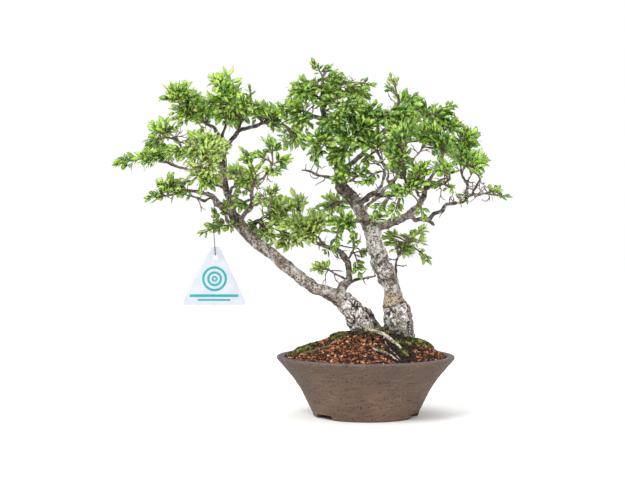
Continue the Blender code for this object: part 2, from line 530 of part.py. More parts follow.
def moss_pad(values, extra):
    """Low lens of moss, half sunk in the soil; extra makes the hollow that it lies in."""
    x, height, *half_size = values
    at = on_soil(x, height)
    shape = bmesh.new()
    bmesh.ops.create_icosphere(shape, subdivisions=2, radius=1.0)
    for vert in shape.verts:
        wave = 1.0 + 0.16 * noise.noise(vert.co * 1.7 + at * 100.0)
        wide, deep, thick = (half * MM for half in half_size)
        reach = Vector((wide * wave + extra, deep * wave + extra, thick + extra))
        vert.co = vert.co * reach
    step = 0.006
    fall = [soil_height(at.x - step, at.y) - soil_height(at.x + step, at.y),
            soil_height(at.x, at.y - step) - soil_height(at.x, at.y + step)]
    lean = Vector((*fall, 2.0 * step)).to_track_quat("Z", "Y").to_matrix()
    bmesh.ops.rotate(shape, verts=shape.verts, cent=(0, 0, 0), matrix=lean)
    bmesh.ops.translate(shape, verts=shape.verts, vec=at)
    return mesh_from("moss_pad", shape)


def limb_readings():
    """The lists with each limb's first point read off its parent: name -> [(x, height, depth, radius)]."""
    readings = {}
    for name, (parent, leaves_at, listed) in LIMBS.items():
        start = []
        if parent:
            target = Vector(leaves_at)
            best = None
            for a, b in zip(readings[parent], readings[parent][1:]):
                run = Vector(b[:2]) - Vector(a[:2])
                share = max(0.0, min(1.0, (target - Vector(a[:2])).dot(run) / run.length_squared))
                at = Vector(a[:3]).lerp(Vector(b[:3]), share)
                away = (at.xy - target).length
                if best is None or away < best[0]:
                    best = (away, at)
            start = [(*best[1], listed[0][-1])]
        readings[name] = start + listed
    return readings


def limb_paths():
    """Limb name -> [(point, radius), ...] in metres."""
    return {name: [(place(x, height, depth * SPREAD), radius * MM) for x, height, depth, radius in listed]
            for name, listed in limb_readings().items()}


def root_paths(limbs):
    """Roots that start in the wood and run over the soil, a little sunk in it."""
    paths = {}
    for name, (parent, number, listed) in ROOTS.items():
        path = [(limbs[parent][number][0], listed[0][2] * MM)]
        path += [(on_soil(x, height) - Vector((0, 0, 0.2 * radius * MM)), radius * MM)
                 for x, height, radius in listed]
        paths[name] = path
    return paths


def sides_for(path):
    """Tube resolution by thickness: trunks are rounder than limbs."""
    widest = max(radius for _, radius in path)
    if widest > 0.013:
        return 3
    if widest > 0.0055:
        return 2
    return 1 if widest > 0.0023 else 0


def fattened(path, extra):
    """The same path with a larger radius, run on past both ends, for the hollow round a limb."""
    out = [(point, radius + extra) for point, radius in path]
    first = (path[0][0] - path[1][0]).normalized() * extra
    last = (path[-1][0] - path[-2][0]).normalized() * extra
    out[0] = (out[0][0] + first, out[0][1])
    out[-1] = (out[-1][0] + last, out[-1][1])
    return out


def make_tree(parent, paths):
    tubes = [tube(name, path, sides_for(path)) for name, path in paths.items()]
    return add_object("tree", combine(tubes[0], in_place(tubes[1:]), "UNION"), BARK, parent)


def make_soil(parent, paths):
    """The filling, with hollows for the tree's base, its surface roots, the net and the moss."""
    hollows = []
    for name in ["right_trunk", "left_trunk", "root_crown", "back_root"] + list(ROOTS):
        path = paths[name][:6]
        hollows.append(tube(f"{name}_hollow", fattened(path, GAP * 1.5), sides_for(path)))
    net_room = NET_SIDE + 2.0 * GAP
    roof = FLOOR_HEIGHT + NET_THICKNESS + 2.0 * GAP
    hollows.append(box((net_room, net_room, 0.004), (0.0, 0.0, roof - 0.002)))
    for values in MOSS.values():
        hollows.append(moss_pad(values, GAP * 2.0))
    return add_object("soil", combine(soil_body(), in_place(hollows), "DIFFERENCE"), SOIL_GRAIN, parent)


def make_tag(parent, branch, branch_radius):
    """Plate with round corners and a hole near its top, hanging in front of the branch."""
    loop = branch_radius * LOOP_SLACK + WIRE_RADIUS + GAP
    shank = branch.y - loop
    centre = place(*TAG_BOTTOM, (shank + SMALL_HOOK) / MM)
    shape = bmesh.new()
    half_foot = TAG_FOOT_WIDTH / 2.0
    half_top = TAG_TOP_WIDTH / 2.0
    outline = [(-half_foot, 0.0), (half_foot, 0.0),
               (TAG_LEAN + half_top, TAG_HEIGHT), (TAG_LEAN - half_top, TAG_HEIGHT)]
    corners = [shape.verts.new((x, 0.0, z)) for x, z in outline]
    shape.faces.new(corners)
    for pair, radius in ((corners[:2], TAG_CORNER), (corners[2:], TAG_TOP_CORNER)):
        bmesh.ops.bevel(shape, geom=pair, offset=radius, segments=3, profile=0.5, affect="VERTICES")
    grown = bmesh.ops.extrude_face_region(shape, geom=shape.faces[:])
    bmesh.ops.translate(shape, verts=[v for v in grown["geom"] if isinstance(v, bmesh.types.BMVert)],
                        vec=(0.0, TAG_THICKNESS, 0.0))
    bmesh.ops.translate(shape, verts=shape.verts, vec=centre - Vector((0.0, TAG_THICKNESS / 2.0, 0.0)))
    bmesh.ops.recalc_face_normals(shape, faces=shape.faces)
    plate = mesh_from("tag_plate", shape)
    hole_at = centre + Vector((TAG_LEAN, 0.0, TAG_HOLE_HEIGHT))
    shape = bmesh.new()
    lying = Matrix.Translation(hole_at) @ Matrix.Rotation(math.pi / 2.0, 4, "X")
    bmesh.ops.create_cone(shape, cap_ends=True, segments=16, radius1=TAG_HOLE_RADIUS,
                          radius2=TAG_HOLE_RADIUS, depth=0.01, matrix=lying)
    pierced = combine(plate, in_place([mesh_from("tag_hole", shape)]), "DIFFERENCE")
    tag = add_object("tag", pierced, TAG_PLASTIC, parent)
    seat = hole_at + Vector((0.0, 0.0, TAG_HOLE_RADIUS - WIRE_RADIUS - GAP))
    return [tag, make_hook(parent, branch, loop, seat)]


def make_hook(parent, branch, loop, seat):
    """Bent wire: a loop over the branch, a straight shank, and a small hook through the tag's hole."""
    path = []
    for step in range(9):
        turn = math.radians(-50.0 + step * 230.0 / 8.0)
        path.append(branch + Vector((0.0, loop * math.cos(turn), loop * math.sin(turn))))
    shank = branch.y - loop
    path.append(Vector((branch.x - 0.0006, shank, (branch.z + seat.z) / 2.0)))
    for step in range(5):
        turn = math.radians(180.0 + step * 45.0)
        path.append(seat + Vector((0.0, SMALL_HOOK * math.cos(turn), SMALL_HOOK * (1.0 + math.sin(turn)))))
    path.append(path[-1] + Vector((0.0, 0.0, SMALL_HOOK)))
    mesh = tube("tag_hook", [(point, WIRE_RADIUS) for point in path], 0)
    return add_object("tag_hook", mesh, HOOK_WIRE, parent)


def blade_ring(matrix, size, station, extra=0.0):
    """Corners of a blade's section in order, facing the blade's tip."""
    share, width, rise = station
    half = BLADE_WIDTH / 2.0 * width * size + extra
    thick = BLADE_THICKNESS / 2.0 + extra
    at = Vector((0.0, BLADE_LENGTH * share * size, BLADE_LENGTH * rise * size))
    corners = [(-half, -thick), (-half, thick), (half, thick), (half, -thick)]
    return [matrix @ (at + Vector((x, 0.0, z))) for x, z in corners]


def extrude_to(shape, face, ring):
    """Extrude a four-sided face to the ring's corners, matched so that its sides don't twist."""
    made = bmesh.ops.extrude_discrete_faces(shape, faces=[face])["faces"][0]
    middle = made.calc_center_median()
    ring_middle = sum(ring, Vector()) / 4.0
    spokes = [vert.co - middle for vert in made.verts]

    def fit(turn):
        moved = ring[turn:] + ring[:turn]
        return sum((corner - ring_middle).dot(spoke) for corner, spoke in zip(moved, spokes))

    turn = max(range(4), key=fit)
    for number, vert in enumerate(made.verts):
        vert.co = ring[(number + turn) % 4]
    return made


def grow_blade(shape, face, matrix, size, extra=0.0):
    """Extrude an arched blade out of a face: wide, less wide, then the tip."""
    for station in BLADE_STATIONS:
        face = extrude_to(shape, face, blade_ring(matrix, size, station, extra))


def surface(mesh):
    """Search tree over a mesh, for the tests of room."""
    faces = [tuple(face.vertices) for face in mesh.polygons]
    return BVHTree.FromPolygons([vert.co for vert in mesh.vertices], faces)


def blade_surface(matrix, size, extra):
    """Search tree over one blade by itself, made thicker by extra."""
    shape = bmesh.new()
    root = shape.faces.new([shape.verts.new(point) for point in blade_ring(matrix, size, BLADE_ROOT, extra)])
    grow_blade(shape, root, matrix, size, extra)
    tree = BVHTree.FromBMesh(shape)
    shape.free()
    return tree


def inside(tree, point):
    """Whether a point lies within the closed surface that a search tree holds."""
    spot, normal, _, away = tree.find_nearest(point)
    return away < WOOD_REACH and (point - spot).dot(normal) < 0.0


class Twig:
    """Square twig with leaves round its last stretch and one at its tip."""

    def __init__(self, start, heading, end, count):
        reach = (end - start).length
        middle = start + heading * TWIG_BOW * reach + (end - start) * TWIG_LEAD
        last = (end - middle).normalized()
        self.points = [start, middle, end - last * LEAF_STRETCH, end]
        self.count = count
        self.leaves = []  # (section number or None at the tip, way, matrix, size)
        self.frames = []
        side = last.cross(Vector((0.0, 0.0, 1.0)))
        for number, point in enumerate(self.points):
            ahead = self.points[min(number + 1, len(self.points) - 1)] - self.points[max(number - 1, 0)]
            along = ahead.normalized() if number else heading
            side = (side - along * side.dot(along)).normalized()
            self.frames.append((point, along, side, along.cross(side)))

    def ring(self, number, extra=0.0):
        point, _, side, up = self.frames[number]
        radius = TWIG_RADIUS * (TWIG_SWELL - TWIG_TAPER * number / (len(self.frames) - 1)) + extra
        return [point + (side * math.cos(turn) + up * math.sin(turn)) * radius
                for turn in (math.pi * (0.25 + 0.5 * corner) for corner in range(4))]

    def mesh(self, extra=0.0):
        """Closed mesh: the twig extruded from its root, then the leaves extruded from its sides."""
        shape = bmesh.new()
        first = [shape.verts.new(point) for point in self.ring(0, extra)]
        front = shape.faces.new(first)
        for number in range(1, len(self.frames)):
            front = extrude_to(shape, front, self.ring(number, extra))
            sides = [other for edge in front.edges for other in edge.link_faces if other is not front]
            middle = self.frames[number][0].lerp(self.frames[number - 1][0], 0.5)
            for _, way, matrix, size in [leaf for leaf in self.leaves if leaf[0] == number]:
                root = max(sides, key=lambda side: (side.calc_center_median() - middle).dot(way))
                sides.remove(root)
                grow_blade(shape, root, matrix, size)
        for _, _, matrix, size in [leaf for leaf in self.leaves if leaf[0] is None]:
            grow_blade(shape, front, matrix, size)
        shape.faces.new(first[::-1])
        bmesh.ops.remove_doubles(shape, verts=shape.verts, dist=1e-6)
        bmesh.ops.triangulate(shape, faces=shape.faces[:])
        bmesh.ops.recalc_face_normals(shape, faces=shape.faces)
        return mesh_from("twig", shape)

    def slots(self):
        """Where leaves may stand: the tip first, then the sides of the last stretch."""
        number = len(self.frames) - 1
        _, _, side, up = self.frames[number]
        return [(None, None), (number, side), (number, -side), (number, up), (number, -up)][:self.count]

    def candidate(self, slot, rng, axis):
        """A seeded (section, way, matrix, size) for a leaf in this slot, its face to the light."""
        number, way = slot
        point, along, side, _ = self.frames[number if number else -1]
        outward = Vector((point.x - axis.x, point.y - axis.y, 0.0)).normalized()
        face = Vector((0.0, 0.0, FACE_UP)) + outward * FACE_OUT
        face += Vector([rng.uniform(-FACE_STRAY, FACE_STRAY) for _ in range(3)])
        angle = LEAF_ANGLE + rng.uniform(-ANGLE_STRAY, ANGLE_STRAY)
        if way is None:
            heading = along + side * rng.uniform(-TIP_STRAY, TIP_STRAY)
            root = point
        else:
            heading = along * math.cos(angle) + way * math.sin(angle)
            root = point.lerp(self.frames[number - 1][0], 0.5) + way * TWIG_RADIUS * LEAF_SEAT
        heading = (heading + Vector((0.0, 0.0, rng.uniform(*LEAF_RISE)))).normalized()
        across = heading.cross(face).normalized()
        turn = Matrix((across, heading, across.cross(heading))).transposed().to_4x4()
        return number, way, Matrix.Translation(root) @ turn, rng.uniform(*LEAF_SIZES)


class Branch:
    """A leafy branch: twigs from the tip of a limb to each of its tufts of leaves."""

    def __init__(self, limb, path, tufts):
        self.limb = limb
        self.heading = (path[-1][0] - path[-2][0]).normalized()
        self.tip = path[-1][0]
        self.twigs = []
        for number, (x, height, depth, count) in enumerate(tufts):
            start = self.tip + self.heading * GAP
            heading = self.heading
            end = place(x, height, depth * SPREAD)
            if number:
                first = self.twigs[0].points
                start = first[0].lerp(first[1], FORK_AT - FORK_STEP * (number - 1))
                heading = ((end - start).normalized() + self.heading * FORK_EASE).normalized()
            self.twigs.append(Twig(start, heading, end, count))

    def mesh(self):
        meshes = [twig.mesh() for twig in self.twigs]
        if len(meshes) == 1:
            return meshes[0]
        return combine(meshes[0], in_place(meshes[1:]), "UNION")


def grow_leaves(branches, obstacles):
    """Leaves one by one, each where it touches no other node and no leaf of its own branch."""
    left_axis, right_axis = CROWN_AXES
    dropped = 0
    wood = obstacles[0][1]
    for order, branch in enumerate(branches):
        rng = random.Random(SEED * 1000 + order)
        axis = left_axis if branch.tip.x < (left_axis.x + right_axis.x) / 2.0 else right_axis
        own = []
        others = [tree for owner, tree in obstacles if owner is not branch]
        for twig in branch.twigs:
            for slot in twig.slots():
                for _ in range(LEAF_TRIES):
                    leaf = twig.candidate(slot, rng, axis)
                    body = blade_surface(leaf[2], leaf[3], GAP)
                    middle = leaf[2] @ Vector((0.0, BLADE_LENGTH * 0.5, BLADE_LENGTH * 0.1))
                    if not any(tree.overlap(body) for tree in others + own) and not inside(wood, middle):
                        twig.leaves.append(leaf)
                        own.append(blade_surface(leaf[2], leaf[3], 0.0))
                        break
                else:
                    dropped += 1
        obstacles += [(branch, tree) for tree in own]
    grown = sum(len(twig.leaves) for branch in branches for twig in branch.twigs)
    print("leaves:", grown, "left out for want of room:", dropped)


def make_leafy_branches(parent, paths, solids):
    """All the leafy branches, each a node of its own, clear of the wood and of each other."""
    obstacles = [(solid.name, surface(solid.data)) for solid in solids]
    branches = [Branch(limb, paths[limb], tufts) for limb, tufts in LEAFY_BRANCHES.items()]
    twig_room = []
    for branch in branches:
        for twig in branch.twigs:
            thin = surface(twig.mesh())
            thick = surface(twig.mesh(extra=GAP))
            for owner, tree in obstacles[:1]:
                if tree.overlap(thin):
                    print("twig of", branch.limb, "crosses", owner)
            for owner, tree in obstacles[1:] + twig_room:
                if owner is not branch and tree.overlap(thick):
                    print("twig of", branch.limb, "crosses", owner if isinstance(owner, str) else owner.limb)
            twig_room.append((branch, thick))
    grow_leaves(branches, obstacles + twig_room)
    for branch in branches:
        finish = LEAF_LIME if branch.tip.x < (CROWN_AXES[0].x + CROWN_AXES[1].x) / 2.0 else LEAF_GREEN
        add_object(f"leaves_{branch.limb}", branch.mesh(), finish, parent)


def main():
    clear_scene()
    origin = bpy.data.objects.new("bonsai_origin", None)
    origin.location = POT_AT
    bpy.context.scene.collection.objects.link(origin)
    limbs = limb_paths()
    paths = {**limbs, **root_paths(limbs)}
    tree = make_tree(origin, paths)
    solids = [tree, make_pot(origin), make_soil(origin, paths), make_net(origin)]
    for name, values in MOSS.items():
        solids.append(add_object(name, moss_pad(values, 0.0), MOSS_GREEN, origin))
    hang = limbs["left_low"]
    solids += make_tag(origin, hang[2][0].lerp(hang[3][0], 0.6), hang[3][1])
    make_leafy_branches(origin, limbs, solids)


main()
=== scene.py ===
# %% [markdown]
# # A Chinese elm bonsai in its pot
# The solids of the bonsai are packed already: the pot, the soil, the wood, a few leaves on each branch,
# the moss and the tag. They settle every size. This lesson dresses them: bark, thousands of leaves,
# crushed stone for soil, moss, and stoneware with its pits and throwing lines.

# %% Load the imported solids
import json
import math
import random

import bmesh
import bpy
import numpy as np
from mathutils import Matrix, Vector, noise
from mathutils.bvhtree import BVHTree
from mathutils.kdtree import KDTree

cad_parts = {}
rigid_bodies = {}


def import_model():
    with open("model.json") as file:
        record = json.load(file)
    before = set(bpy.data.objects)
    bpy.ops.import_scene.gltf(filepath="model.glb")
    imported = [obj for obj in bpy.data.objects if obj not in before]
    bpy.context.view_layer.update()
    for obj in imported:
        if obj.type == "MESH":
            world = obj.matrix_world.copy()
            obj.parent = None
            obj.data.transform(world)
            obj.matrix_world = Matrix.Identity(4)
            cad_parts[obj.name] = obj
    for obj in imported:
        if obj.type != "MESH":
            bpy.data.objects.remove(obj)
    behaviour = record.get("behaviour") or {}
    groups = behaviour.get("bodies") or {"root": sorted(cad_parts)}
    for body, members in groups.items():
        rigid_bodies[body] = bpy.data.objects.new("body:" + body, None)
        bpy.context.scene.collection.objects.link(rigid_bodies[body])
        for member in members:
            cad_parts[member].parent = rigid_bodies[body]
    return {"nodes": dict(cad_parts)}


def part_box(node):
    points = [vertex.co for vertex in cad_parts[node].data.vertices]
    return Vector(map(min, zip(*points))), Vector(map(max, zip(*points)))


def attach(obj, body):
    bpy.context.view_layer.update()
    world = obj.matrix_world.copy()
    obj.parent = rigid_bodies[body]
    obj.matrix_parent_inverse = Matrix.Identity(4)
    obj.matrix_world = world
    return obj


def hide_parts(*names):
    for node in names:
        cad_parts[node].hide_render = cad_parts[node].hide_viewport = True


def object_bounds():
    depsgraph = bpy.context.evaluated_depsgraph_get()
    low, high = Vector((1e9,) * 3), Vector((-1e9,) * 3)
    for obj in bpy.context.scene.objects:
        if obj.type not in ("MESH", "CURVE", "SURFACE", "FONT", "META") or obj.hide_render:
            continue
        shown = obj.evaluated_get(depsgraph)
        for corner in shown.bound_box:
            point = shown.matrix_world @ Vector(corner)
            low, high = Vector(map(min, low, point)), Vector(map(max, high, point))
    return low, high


# noise_vector takes its pattern from the clock unless a seed is set
NOISE_SEED = 4
noise.seed_set(NOISE_SEED)
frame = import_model()
cad_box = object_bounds()
print("solids:", len(frame["nodes"]), "box in mm:", [[round(value * 1000) for value in corner] for corner in cad_box])

# %% [markdown]
# ## Where things stand
# The lists below are in millimetres as a viewer in front of the tree sees them: x from the middle of the
# pot, height, and depth behind the pot's middle. Two steps turn such a reading into a point: read the
# spot on an upright plane, then slide it along the line of sight. Writing every point by hand in space
# would work too, but a tree is far easier to measure from its front.

# %% From a reading to a point
MM = 0.001
# the pot's middle on the floor; the eye, and the spot that it looks at, are measured from there
POT_AT = Vector((0.0594, -0.0142, 0.0))
EYE = Vector((-0.060, -1.60, 0.230))
AIM = Vector((-0.060, 0.0, 0.200))
# the height that the lists give the floor, and how many times deeper the crown is than they say
LIST_ZERO = 2.0
SPREAD = 1.45


def place(x, height, depth):
    """Point that a viewer at EYE sees at (x, height), the given depth behind the pot's middle."""
    seen = Vector((x * MM, 0.0, (height - LIST_ZERO) * MM))
    return POT_AT + EYE + (seen - EYE) * (1.0 - depth * MM / EYE.y)


print("the front of the rim is at", tuple(round(value, 3) for value in place(0, 70, -100)))

# %% [markdown]
# ## Camera and light
# A long lens far away keeps the pot's rim a flat ellipse. The light is a photographer's: one large soft
# box at the upper left, a weaker one at the right, one overhead, and a white room that fills the rest.

# %% Camera, soft boxes and room
CROWN_MIDDLE = Vector((0.0, 0.0, 0.18))
scene = bpy.context.scene


def in_scene(name, data):
    """Object in the scene for a mesh, a curve, a light or a camera."""
    holder = bpy.data.objects.new(name, data)
    scene.collection.objects.link(holder)
    return holder


def soft_box(name, spot, size, watts):
    """Square area light that faces the middle of the crown."""
    light = bpy.data.lights.new(name, "AREA")
    light.size = size
    light.energy = watts
    holder = in_scene(name, light)
    holder.location = spot
    holder.rotation_euler = (CROWN_MIDDLE - Vector(spot)).to_track_quat("-Z", "Y").to_euler()


lens = bpy.data.cameras.new("camera")
lens.lens = 81.6
lens.sensor_width = 36.0
camera = in_scene("camera", lens)
camera.location = POT_AT + EYE
camera.rotation_euler = (AIM - EYE).to_track_quat("-Z", "Y").to_euler()
scene.camera = camera
soft_box("key_light", (-0.9, -1.3, 1.5), 0.9, 37.0)
soft_box("fill_light", (1.4, -1.1, 0.8), 1.4, 5.0)
soft_box("top_light", (0.1, 0.3, 1.7), 1.2, 12.0)
room = bpy.data.worlds.new("white_room")
room.use_nodes = True
room_light = room.node_tree.nodes["Background"].inputs
room_light["Color"].default_value = (1.0, 1.0, 1.0, 1.0)
room_light["Strength"].default_value = 1.0
scene.world = room
scene.view_settings.view_transform = "Standard"
print("camera at", tuple(round(value, 3) for value in camera.location))

# %% [markdown]
# ## Tools for finishes
# Each finish is a Principled shader with a few pattern nodes in front of it. Nodes could be added and
# joined one by one, but then a recipe is hard to read. A pattern here knows its own node, and adding or
# multiplying patterns adds the Math nodes, so a recipe reads like a sum. Patterns start from the piece's
# own coordinates, so they stay where they are from every side.

# %% Patterns


def paint(red, green, blue):
    """Linear colour from the 0 to 255 values of a colour picker."""
    return tuple(((value / 255.0 + 0.055) / 1.055) ** 2.4 for value in (red, green, blue)) + (1.0,)


class Pattern:
    """A node's output in a finish; what is done to patterns adds the nodes that work it out."""

    def __init__(self, tree, socket):
        self.tree = tree
        self.socket = socket

    def node(self, kind, output, inputs, **settings):
        """An output of a new node; inputs maps a socket's name or number to a value or a pattern."""
        made = self.tree.nodes.new("ShaderNode" + kind)
        for key, value in settings.items():
            setattr(made, key, value)
        for key, value in inputs.items():
            if isinstance(value, Pattern):
                self.tree.links.new(value.socket, made.inputs[key])
            else:
                made.inputs[key].default_value = value
        return Pattern(self.tree, made.outputs[output])

    def math(self, operation, other=0.0):
        return self.node("Math", 0, {0: self, 1: other}, operation=operation)

    def __add__(self, other):
        return self.math("ADD", other)

    def __sub__(self, other):
        return self.math("SUBTRACT", other)

    def __rsub__(self, other):
        return self.node("Math", 0, {0: other, 1: self}, operation="SUBTRACT")

    def __mul__(self, other):
        return self.math("MULTIPLY", other)

    def noise(self, scale, detail=4.0):
        """Clouds at these coordinates."""
        return self.node("TexNoise", "Fac", {"Vector": self, "Scale": scale, "Detail": detail})

    def voronoi(self, output, scale, **settings):
        """Cells at these coordinates."""
        return self.node("TexVoronoi", output, {"Vector": self, "Scale": scale}, **settings)

    def axis(self, name):
        return self.node("SeparateXYZ", name, {"Vector": self})

    def stored(self, name):
        """Numbers that were stored on the mesh."""
        return self.node("Attribute", "Fac", {}, attribute_name=name)

    def band(self, low, high):
        """0 below low, 1 above high."""
        return self.node("MapRange", "Result", {"Value": self, "From Min": low, "From Max": high})

    def ramp(self, *stops):
        """Colour ramp through (position, colour) stops."""
        made = self.node("ValToRGB", "Color", {"Fac": self})
        band = made.socket.node.color_ramp
        while len(band.elements) < len(stops):
            band.elements.new(1.0)
        for element, (position, colour) in zip(band.elements, stops):
            element.position = position
            element.color = colour
        return made

    def mix(self, one, two):
        """Colour one where this is 0, colour two where it is 1."""
        return self.node("Mix", 2, {0: self, 6: one, 7: two}, data_type="RGBA")


print("the middle grey of a colour picker:", tuple(round(value, 3) for value in paint(128, 128, 128)))

# %% Finishes made of patterns


def covered(colour, *layers):
    """The colour under layers of paint, each with the pattern of its share."""
    for share, shade in layers:
        colour = share.mix(colour, paint(*shade))
    return colour


def finish(name, recipe, roughness, **constants):
    """Material whose recipe returns its colour, and its bump's pattern and depth in metres if it has any."""
    made = bpy.data.materials.new(name)
    made.use_nodes = True
    tree = made.node_tree
    shader = tree.nodes["Principled BSDF"].inputs
    where = Pattern(tree, tree.nodes.new("ShaderNodeTexCoord").outputs["Object"])
    colour, relief, depth = recipe(where)
    tree.links.new(colour.socket, shader["Base Color"])
    shader["Roughness"].default_value = roughness
    for key, value in constants.items():
        shader[key.replace("_", " ")].default_value = value
    if relief is not None:
        bump = relief.node("Bump", "Normal", {"Height": relief, "Distance": depth, "Strength": 1.0})
        tree.links.new(bump.socket, shader["Normal"])
    return made


def two_shades(scale, dark, light):
    """Recipe of a smooth surface whose colour wanders between two shades."""
    return lambda where: (where.noise(scale).ramp((0.3, paint(*dark)), (0.7, paint(*light))), None, 0.0)


# %% [markdown]
# ## Tools for pieces
# Every piece is a bmesh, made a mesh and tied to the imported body. Two shapes come up all the time: a round
# rod along a curve, for wood and wire, and one small shape repeated by the thousand, for leaves and grains.
# Instances would be lighter, but real copies in one mesh can be exported and printed.

# %% Helpers that build a piece
# corners nearer to each other than this are one corner
SAME_SPOT = 1e-6


def paint_over(mesh, made):
    mesh.materials.clear()
    mesh.materials.append(made)


def add_piece(name, mesh, made, slot, *nodes):
    """Object for a mesh that rides on the root, takes a finish and replaces nodes; slot is not used."""
    paint_over(mesh, made)
    piece = in_scene(name, mesh)
    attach(piece, "root")
    if nodes:
        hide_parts(*nodes)
    print(f"{name}: {sum(len(face.vertices) - 2 for face in mesh.polygons)} triangles")


def mesh_from(name, shape, smooth=True):
    """Mesh of a bmesh, which is freed."""
    mesh = bpy.data.meshes.new(name)
    shape.to_mesh(mesh)
    shape.free()
    if smooth:
        mesh.shade_smooth()
    return mesh


def settled(holder):
    """Mesh of an object after its modifiers; the object is removed."""
    bpy.context.view_layer.update()
    graph = bpy.context.evaluated_depsgraph_get()
    mesh = bpy.data.meshes.new_from_object(holder.evaluated_get(graph))
    bpy.data.objects.remove(holder)
    return mesh


# %% Rods, copies and stored numbers


def rods(name, paths, resolution):
    """Closed round rods with 4 + 2 * resolution sides along rows of (x, y, z, radius)."""
    curve = bpy.data.curves.new(name, "CURVE")
    curve.dimensions = "3D"
    curve.bevel_depth = 1.0
    curve.bevel_resolution = resolution
    curve.use_fill_caps = True
    for path in paths:
        line = curve.splines.new("POLY")
        line.points.add(len(path) - 1)
        line.points.foreach_set("co", np.column_stack([path[:, :3], np.ones(len(path))]).ravel())
        line.points.foreach_set("radius", path[:, 3])
    shape = bmesh.new()
    shape.from_mesh(settled(in_scene(name, curve)))
    bmesh.ops.remove_doubles(shape, verts=shape.verts, dist=SAME_SPOT)
    return mesh_from(name, shape)


def vectors_of(items, name):
    """One row of three numbers for each corner or normal of a mesh."""
    values = np.empty(len(items) * 3)
    items.foreach_get(name, values)
    return values.reshape(-1, 3)


def repeated(name, template, matrices, smooth=True):
    """One mesh with a copy of the template at each matrix."""
    shape = bmesh.new()
    for _ in matrices:
        shape.from_mesh(template)
    mesh = mesh_from(name, shape, smooth)
    corners = np.column_stack([vectors_of(template.vertices, "co"), np.ones(len(template.vertices))])
    placed = np.einsum("kij,nj->kni", np.array(matrices), corners)[:, :, :3]
    mesh.vertices.foreach_set("co", placed.ravel())
    mesh.update()
    return mesh


def tell(mesh, name, values):
    """Store one number per corner of the mesh for its finish to read."""
    layer = mesh.attributes.new(name, "FLOAT", "POINT")
    layer.data.foreach_set("value", np.asarray(values, dtype=np.float32))


def search_tree(mesh):
    """The faces of a mesh, ready to be hit by rays or asked for the nearest one."""
    return BVHTree.FromPolygons([vert.co for vert in mesh.vertices], [tuple(face.vertices) for face in mesh.polygons])


def clamp(value):
    return max(0.0, min(1.0, value))


# %% [markdown]
# ## The floor
# A wide pale sheet; it isn't part of the bonsai.

# %% Floor


def floor_recipe(where):
    """Painted light: a little darker round the pot, which deepens the shade there, and whiter farther off, where the
    lamps reach less, so that no horizon shows.
    """
    away = where.node("VectorMath", "Value", {0: where, 1: tuple(POT_AT)}, operation="DISTANCE")
    return (away * 0.5).ramp((0.04, (0.88, 0.88, 0.87, 1.0)), (0.12, (0.94, 0.94, 0.94, 1.0)),
                             (0.8, (0.985, 0.985, 0.985, 1.0))), None, 0.0


shape = bmesh.new()
bmesh.ops.create_grid(shape, x_segments=1, y_segments=1, size=6.0)
floor = in_scene("floor", mesh_from("floor", shape))
paint_over(floor.data, finish("pale_floor", floor_recipe, 0.9, Specular_IOR_Level=0.2))

# %% [markdown]
# ## The routes of the wood
# Each limb is a list of readings (x, height, depth, radius), and it says which limb it leaves and where.
# A limb's first point is read off its parent, so no twig hangs in the air.

